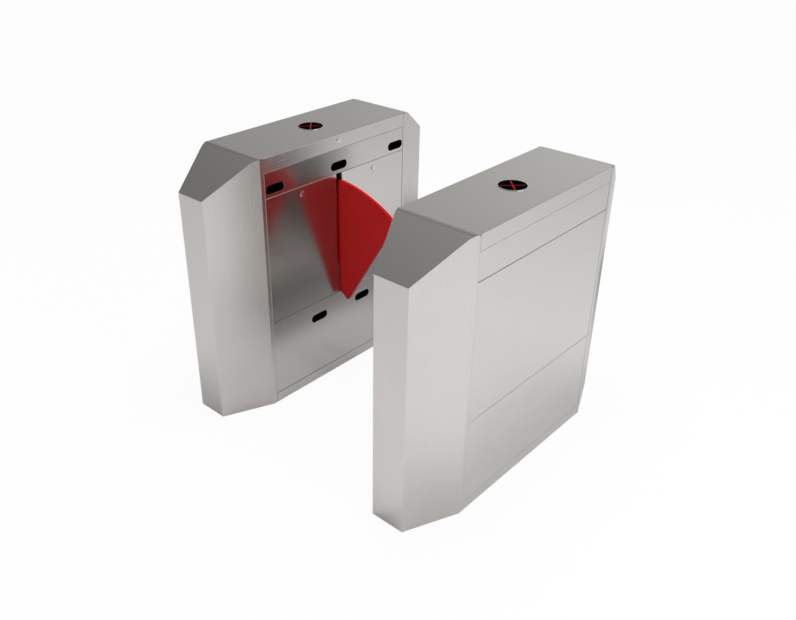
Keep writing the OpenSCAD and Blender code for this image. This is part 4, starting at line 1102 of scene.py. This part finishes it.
# Polyester, moulded: the green of pluggable terminals.
green_pbt = finish("terminal_green", "#2F8F5B", 0.45, speck_mm=1.0)
plugs = [(on_board(PLUG_FROM + PLUG_PITCH * i, PLUG_UP_MM), IN, Z) for i in range(PLUGS)]
grow("board_terminals", BLOCKS, plugs, "circuit_board", green_pbt, Along=11, Wide=9.6,
     High=13, Chamfer=1)
grow("board_clamps", PAN_SCREW, raised(plugs, PLUG_D_MM), Across=5, Height=0.9, Washer=5.4,
     Sheet=0.1)
CAN_SHARES, CAN_UP_MM = (0.12, 0.24, 0.36), 30
cans = [(on_board(across, CAN_UP_MM), IN, Y) for across in CAN_SHARES]
grow("capacitors", PAN_SCREW, cans, "aluminium", Across=12, Height=16, Washer=12.5, Sheet=1)
CHIP_SHARE, CHIP_UP_MM, CHIP_MM = 0.5, 71, 18.0
LEGS, LEG_PITCH_MM, LEG_OUT_MM = 10, 1.6, 0.6
chip = on_board(CHIP_SHARE, CHIP_UP_MM)
legs = []
for i in range(LEGS):
    step = (i - (LEGS - 1) / 2) * LEG_PITCH_MM * MM
    for end in (-1, 1):
        reach = end * (CHIP_MM / 2 + LEG_OUT_MM) * MM
        legs.append((chip + step * Z + reach * Y, IN, Y))
        legs.append((chip + step * Y + reach * Z, IN, Z))
grow("chip_legs", BLOCKS, legs, Along=2.2, Wide=0.7, High=1.2, Chamfer=0.2)
print("plugs, cans and legs on each board:", len(plugs), len(cans), len(legs))

# %% Resistors, diodes and panel screws
COUNT, JUMP, CHIP_ZONE = 23, 7, (0.36, 0.62)
SMALL_FROM, SMALL_SPAN, SMALL_UP_MM, ROW_MM, STRAY_MM = 0.1, 0.8, 48, 14, 2
small = []
for i in range(COUNT):
    share = JUMP * i % COUNT / (COUNT - 1)
    if not CHIP_ZONE[0] < share < CHIP_ZONE[1]:
        up_mm = SMALL_UP_MM + ROW_MM * (i % 4) + STRAY_MM * (i % 3)
        small.append((on_board(SMALL_FROM + SMALL_SPAN * share, up_mm), IN, Y if i % 2 else Z))
grow("board_resistors", BLOCKS, small, "black_plastic", Along=4.2, Wide=2.4, High=1.2,
     Chamfer=0.3)
# Diode of clear epoxy, lit: a pure red that glows a little by itself.
lit_red = finish("red_diode_lit", "#C80408", 0.4, glow=0.3, spread=0.02, bump=0.0,
                 specular=0.0)
LAMPS_FROM, LAMPS_PITCH, LAMPS_UP_MM, BOARD_LAMPS = 0.62, 0.06, 34, 5
lamps = [(on_board(LAMPS_FROM + LAMPS_PITCH * i, LAMPS_UP_MM), IN, Y)
         for i in range(BOARD_LAMPS)]
grow("board_lamps", PAN_SCREW, lamps, "red_light", lit_red, Across=3, Height=3, Washer=3.6,
     Sheet=1)
BOARD_EDGE_MM, BOARD_UP_MM, SUPPLY_EDGE_MM, SUPPLY_UP_MM = 8, (8, 152), 6, (18, 102)
edge_share = BOARD_EDGE_MM * MM / (board_high.y - board_low.y)
panel_screws = [(on_board(across, up_mm), IN, Y) for across in (edge_share, 1 - edge_share)
                for up_mm in BOARD_UP_MM]
panel_screws += [(Vector((supply_low.x, y, supply_low.z + up_mm * MM)), IN, Y)
                 for y in (supply_low.y + SUPPLY_EDGE_MM * MM,
                           supply_high.y - SUPPLY_EDGE_MM * MM) for up_mm in SUPPLY_UP_MM]
grow("panel_screws", PAN_SCREW, panel_screws, Across=6, Height=1.8, Washer=7, Sheet=0.5)
print("resistors and diodes on each board:", len(small), len(lamps))

# %% [markdown]
# ## Power supply
# A supply is a folded aluminium case with a row of screw terminals in front and square holes
# in its top, through which warm air leaves. Cutting each hole would take long, so the tree
# shrinks every face of a grid and takes the shrunk middles out, which leaves the bars.

# %% Terminals of the power supply
POLES, POLE_FROM_MM, POLE_PITCH_MM, POLE_UP_MM, POLE_D_MM = 9, 15.0, 11.2, 9.0, 9.0
poles = [(supply_low + Vector((0, POLE_FROM_MM + POLE_PITCH_MM * i, POLE_UP_MM)) * MM, IN, Z)
         for i in range(POLES)]
grow("supply_terminals", BLOCKS, poles, "black_plastic", Along=14, Wide=9.8, High=9,
     Chamfer=0.8)
grow("supply_clamps", PAN_SCREW, raised(poles, POLE_D_MM), "brass", Across=6, Height=1.6,
     Washer=7, Sheet=0.4)
print("terminals on each supply:", len(poles))

# %% Perforated sheet on top of the power supply
MERGE_M = 1e-6


def vent_tree():
    """A sheet with rows of square holes, lying across each spot's aim."""
    tree, sockets = new_tree("perforated_sheet", Long=0.1, Wide=0.04, Thick=0.001, Rows=5,
                             Holes=14, Bar_share=0.55)
    grid = add(tree, "GeometryNodeMeshGrid", Size_X=sockets["Long"], Size_Y=sockets["Wide"],
               Vertices_X=sockets["Holes"], Vertices_Y=sockets["Rows"])
    flat = add(tree, "GeometryNodeExtrudeMesh", Mesh=grid.outputs["Mesh"], Offset_Scale=0.0)
    open_part = add(tree, "GeometryNodeScaleElements", Geometry=flat.outputs["Mesh"],
                    Selection=flat.outputs["Top"], Scale=sockets["Bar_share"])
    holed = add(tree, "GeometryNodeDeleteGeometry", {"domain": "FACE"},
                Geometry=open_part.outputs[0], Selection=flat.outputs["Top"])
    joined = add(tree, "GeometryNodeMergeByDistance", Geometry=holed.outputs[0],
                 Distance=MERGE_M)
    thick = add(tree, "GeometryNodeExtrudeMesh", Mesh=joined.outputs[0],
                Offset_Scale=sockets["Thick"], Individual=False)
    under = add(tree, "GeometryNodeFlipFaces", Mesh=joined.outputs[0])
    closed = add(tree, "GeometryNodeJoinGeometry", Geometry=thick.outputs["Mesh"])
    tree.links.new(under.outputs[0], closed.inputs[0])
    whole = add(tree, "GeometryNodeMergeByDistance", Geometry=closed.outputs[0],
                Distance=MERGE_M)
    place_on_spots(tree, sockets, whole.outputs[0])
    return tree


VENT_SHORT_MM, VENT_SLIM_MM = 8, 4
supply_size = (supply_high - supply_low) / MM
supply_top = (supply_low + supply_high) / 2
supply_top.z = supply_high.z
grow("supply_vents", vent_tree(), [(supply_top, Z, Y)], "aluminium",
     Long=supply_size.y - VENT_SHORT_MM, Wide=supply_size.x - VENT_SLIM_MM)
print("vents at height", round(supply_top.z, 3))

# %% [markdown]
# ## Frame
# Square tubes are cut, set together and welded all round, which leaves a raised seam of
# overlapping drops. A smooth bar along each joint would be simpler, but the drops are what
# tells a weld, so they are grown along the joint's outline, with a seeded change in size.

# %% Tree: weld beads along a path
def even_points(tree, sockets):
    """Points at an even pitch along the edges of the base mesh."""
    path = add(tree, "GeometryNodeMeshToCurve", Mesh=sockets["Base"])
    even = add(tree, "GeometryNodeResampleCurve", {"mode": "LENGTH"}, Curve=path.outputs[0],
               Length=sockets["Pitch"])
    return even.outputs[0]


def weld_tree(seed=11):
    """Overlapping flat drops along the base's edges, each a little different in size."""
    tree, sockets = new_tree("weld_beads", Pitch=0.0024, Wide=0.0022)
    points = even_points(tree, sockets)
    drop = add(tree, "GeometryNodeMeshUVSphere", Segments=8, Rings=4, Radius=sockets["Wide"])
    tangent = add(tree, "GeometryNodeInputTangent")
    turned = add(tree, "FunctionNodeAlignRotationToVector", {"axis": "X"},
                 Vector=tangent.outputs[0])
    size = add(tree, "FunctionNodeRandomValue", {"data_type": "FLOAT"}, i2=0.8, i3=1.1,
               Seed=seed)
    drops = add(tree, "GeometryNodeInstanceOnPoints", Points=points,
                Instance=drop.outputs["Mesh"], Rotation=turned.outputs[0],
                Scale=size.outputs[1])
    end_tree(tree, sockets, drops.outputs[0])
    return tree


WELD = weld_tree()
print("trees so far:", [group.name for group in bpy.data.node_groups])

# %% Weld seams at the posts and the mechanism plates
# A post is slimmer and taller than these, and an upright plate higher than the last.
POST_W_MM, POST_LEAST_M, PLATE_HIGH_M = 25.0, 0.5, 0.2
PLATE_FACE_MM, SEAM_IN_MM, SEAM_UP_MM, SEAM_SHORT_MM = 40.0, 0.6, 5.6, 3.0
seams = []
for low, high in solids("frame_right"):
    slim = high.x - low.x < POST_W_MM * MM and high.y - low.y < POST_W_MM * MM
    if slim and high.z - low.z > POST_LEAST_M:
        for z in (low.z, high.z):
            seams.append([Vector((x, y, z)) for x, y in (
                (low.x, low.y), (high.x, low.y), (high.x, high.y), (low.x, high.y))])
for low, high in solids("mechanism_frame_right"):
    if high.z - low.z > PLATE_HIGH_M:
        inner = math.copysign(PLATE_FACE_MM - SEAM_IN_MM, low.y) * MM
        seams.append([Vector((x, inner, low.z + SEAM_UP_MM * MM)) for x in
                      (low.x + SEAM_SHORT_MM * MM, high.x - SEAM_SHORT_MM * MM)])
points, edges = [], []
for side in SIDES:
    for loop in mirrored(seams, side):
        first = len(points)
        points += loop
        edges += [(first + i, first + (i + 1) % len(loop)) for i in range(len(loop))]
weld_path = bpy.data.meshes.new("weld_path")
weld_path.from_pydata(points, edges, [])
run_tree("weld_seams", WELD, weld_path, "cabinets", "dark_steel")
print("weld seams:", 2 * len(seams))

# %% [markdown]
# ## Lid and doors from inside
# Thin sheet drums and bends, so the lid and the doors carry folded hat channels on their
# inner face. A channel could be folded up face by face, but its section is the same all
# along, so one outline is extruded across the lid or up the door. Three nuts hold the lamp
# under the lid, and socket screws hold the leaves of the hinges.

# %% Hat channels, and nuts round the lamp
HAT_T_MM, HAT_EDGE_MM, NUT_CIRCLE_MM = 1.2, 0.25, 54.0
LID_HAT_MM, DOOR_HAT_MM = (24.0, 11.0, 9.0), (18.0, 9.5, 8.0)
SHEET_MM, LID_HAT_Y_MM, LID_HAT_IN_MM, LID_HAT_SHORT_MM = 1.5, 150.0, 24.0, 60.0
DOOR_HAT_SHARES, DOOR_HAT_UP_MM, DOOR_HAT_SHORT_MM = (-0.22, 0.2), 45.0, 110.0


def hat(width, rise, foot):
    """Outline of a folded hat in mm: along the sheet, and away from it."""
    w, t = width / 2, HAT_T_MM
    return [(w + foot, 0), (w + foot, t), (w, t), (w, rise), (-w, rise), (-w, t),
            (-w - foot, t), (-w - foot, 0), (-w + t, 0), (-w + t, rise - t),
            (w - t, rise - t), (w - t, 0)]


def extruded(name, body, side, origins, outline, axes, length, slot="bright_steel",
             material=None):
    """A piece of outlines in mm. Axes are across and away in the outline, and along."""
    shape = bmesh.new()
    for start in origins:
        origin, across, away, along = mirrored([(start, *axes)], side)[0]
        points = [origin + (a * across + b * away) * MM for a, b in outline]
        near = [shape.verts.new(point) for point in points]
        far = [shape.verts.new(point + length * along) for point in points]
        shape.faces.new(near)
        shape.faces.new(far[::-1])
        for i in range(len(near)):
            j = (i + 1) % len(near)
            shape.faces.new((near[i], far[i], far[j], near[j]))
    bevel(shape, sharp(shape), HAT_EDGE_MM)
    return placed(name, mesh_of(name, shape), body, slot, material)


under_lid = lid_high.z - SHEET_MM * MM
cup_low, cup_high = box("lamp_bezel_right")
hub = (cup_low + cup_high) / 2
hub.z = under_lid
nuts = [(hub + NUT_CIRCLE_MM * MM * outwards(degrees, Y), -Z, X)
        for degrees in (30, 150, 270)]
for side in SIDES:
    origins = [Vector((lid_low.x + LID_HAT_IN_MM * MM, end * LID_HAT_Y_MM * MM, under_lid))
               for end in (-1, 1)]
    extruded(f"lid_channels_{side}", f"lid_{side}", side, origins, hat(*LID_HAT_MM),
             (Y, -Z, X), lid_high.x - lid_low.x - LID_HAT_SHORT_MM * MM)
    for door in ("front_door", "rear_door"):
        low, high = box(f"{door}_right")
        middle_y, wide = (low.y + high.y) / 2, high.y - low.y
        origins = [Vector((low.x + SHEET_MM * MM, middle_y + share * wide,
                           low.z + DOOR_HAT_UP_MM * MM)) for share in DOOR_HAT_SHARES]
        extruded(f"{door}_channels_{side}", f"{door}_{side}", side, origins,
                 hat(*DOOR_HAT_MM), (Y, X, Z), high.z - low.z - DOOR_HAT_SHORT_MM * MM)
    grow(f"lamp_nuts_{side}", HEX_SCREW, nuts, body=f"lid_{side}", sides=[side], Across=8,
         Height=4, Washer=11, Sheet=1)
print("height under the lid:", round(under_lid, 4))

# %% Hinge screws
LEAF_LEAST_MM, LEAF_SHARES, LEAF_UP_MM = 15.0, (-0.3, 0.3), 9.0
leaf_screws = []
for low, high in solids("lid_hinges"):
    long = high.y - low.y
    if long > LEAF_LEAST_MM * MM:
        leaf_screws += [(Vector((low.x, (low.y + high.y) / 2 + share * long,
                                 low.z + LEAF_UP_MM * MM)), IN, Y) for share in LEAF_SHARES]
grow("hinge_screws", CAP_SCREW, leaf_screws, Across=6, Height=2.8, Washer=7, Sheet=0.4)
print("hinge screws on each cabinet:", len(leaf_screws))

# %% [markdown]
# ## Foam strips in the joints
# The lid, the doors and the panel that lifts out close on strips of grey silicone foam, which
# keep dust out and stop the sheets from rattling. Bare slits would look black, while the
# strips make the soft grey lines of the photograph. A strip has a D section, bow outwards.

# %% Foam strips behind the joints
FOAM_BOW_SHARE, FOAM_DEEP_MM, FOAM_STEPS = 0.25, 8.0, 8
FOAM_CLEAR_SHARE, FOAM_END_MM = 0.08, 1.0
# Silicone foam, extruded: pale grey and quite dull, with fine cells.
grey_foam = finish("grey_silicone_foam", "#A9A9A6", 0.8, speck_mm=0.8, bump=0.2)


def d_section(height):
    """Outline of a D in mm: its bow towards the eye, flat at the back."""
    turns = [math.pi * step / FOAM_STEPS for step in range(FOAM_STEPS + 1)]
    front = [(-height / 2 * math.cos(turn), FOAM_BOW_SHARE * height * (1 - math.sin(turn)))
             for turn in turns]
    return front + [(height / 2, FOAM_DEEP_MM), (-height / 2, FOAM_DEEP_MM)]


panel_high = box("outer_panel_right")[1]
band_low, band_high = box("sensor_band_right")
# Each joint: its face, the way in, its lower and upper edge, and how deep the strip sits.
JOINTS = {"panel": (panel_high.x, IN, panel_high.z, box("outer_bands")[0].z, 1.4),
          "door": (band_low.x, X, box("front_door_right")[1].z, band_low.z, 0.8),
          "lid": (band_low.x, X, band_high.z, lid_low.z, 0.8)}
strip_mm = (band_high.y - band_low.y) / MM - 2 * FOAM_END_MM
for joint, (face_x, inwards, below, above, sunk_mm) in JOINTS.items():
    section = d_section((above - below) / MM * (1 - 2 * FOAM_CLEAR_SHARE))
    start = Vector((face_x, band_low.y + FOAM_END_MM * MM, (below + above) / 2))
    start += sunk_mm * MM * inwards
    for side in SIDES:
        extruded(f"{joint}_foam_{side}", "cabinets", side, [start], section,
                 (Z, inwards, Y), strip_mm * MM, "rubber", grey_foam)
print("foam strips:", 2 * len(JOINTS), "of", round(strip_mm), "mm")

# %% [markdown]
# ## Signal cross
# Behind the dark lens two rows of light-emitting diodes make a cross, one row driven brighter
# than the other. A glowing strip would do from afar, but each diode has its own small dome,
# so a round dome is grown at an even pitch along both arms.

# %% Rows of diodes along the arms
ARM_SHARE = 0.46


def dome_tree():
    """Low round domes at an even pitch along the base's edges."""
    tree, sockets = new_tree("diode_rows", Pitch=0.006, Radius=0.0018, Rise_share=0.4)
    points = even_points(tree, sockets)
    ball = add(tree, "GeometryNodeMeshUVSphere", Segments=12, Rings=6, Radius=sockets["Radius"])
    flat = add(tree, "ShaderNodeCombineXYZ", X=1.0, Y=1.0, Z=sockets["Rise_share"])
    pressed = add(tree, "GeometryNodeTransform", Geometry=ball.outputs["Mesh"],
                  Scale=flat.outputs[0])
    domes = add(tree, "GeometryNodeInstanceOnPoints", Points=points,
                Instance=pressed.outputs[0])
    end_tree(tree, sockets, domes.outputs[0])
    return tree


DOMES = dome_tree()
# The same diode with less current: a dark red.
dim_red = finish("red_diode_dim", "#7A0307", 0.4, glow=0.3, spread=0.02, bump=0.0,
                 specular=0.0)
for side in SIDES:
    low, high = box(f"lamp_cross_{side}")
    middle = (low + high) / 2
    middle.z = high.z
    reach = ARM_SHARE * (high.y - low.y)
    for row, rise, material in (("bright_row", -1, lit_red), ("dim_row", 1, dim_red)):
        out = reach * (X + rise * Y)
        arm = bpy.data.meshes.new("arm")
        arm.from_pydata([middle - out, middle + out], [(0, 1)], [])
        run_tree(f"lamp_{row}_{side}", DOMES, arm, BODY_OF[f"lamp_cross_{side}"], "red_light",
                 material)
print("diode rows:", 2 * len(SIDES))
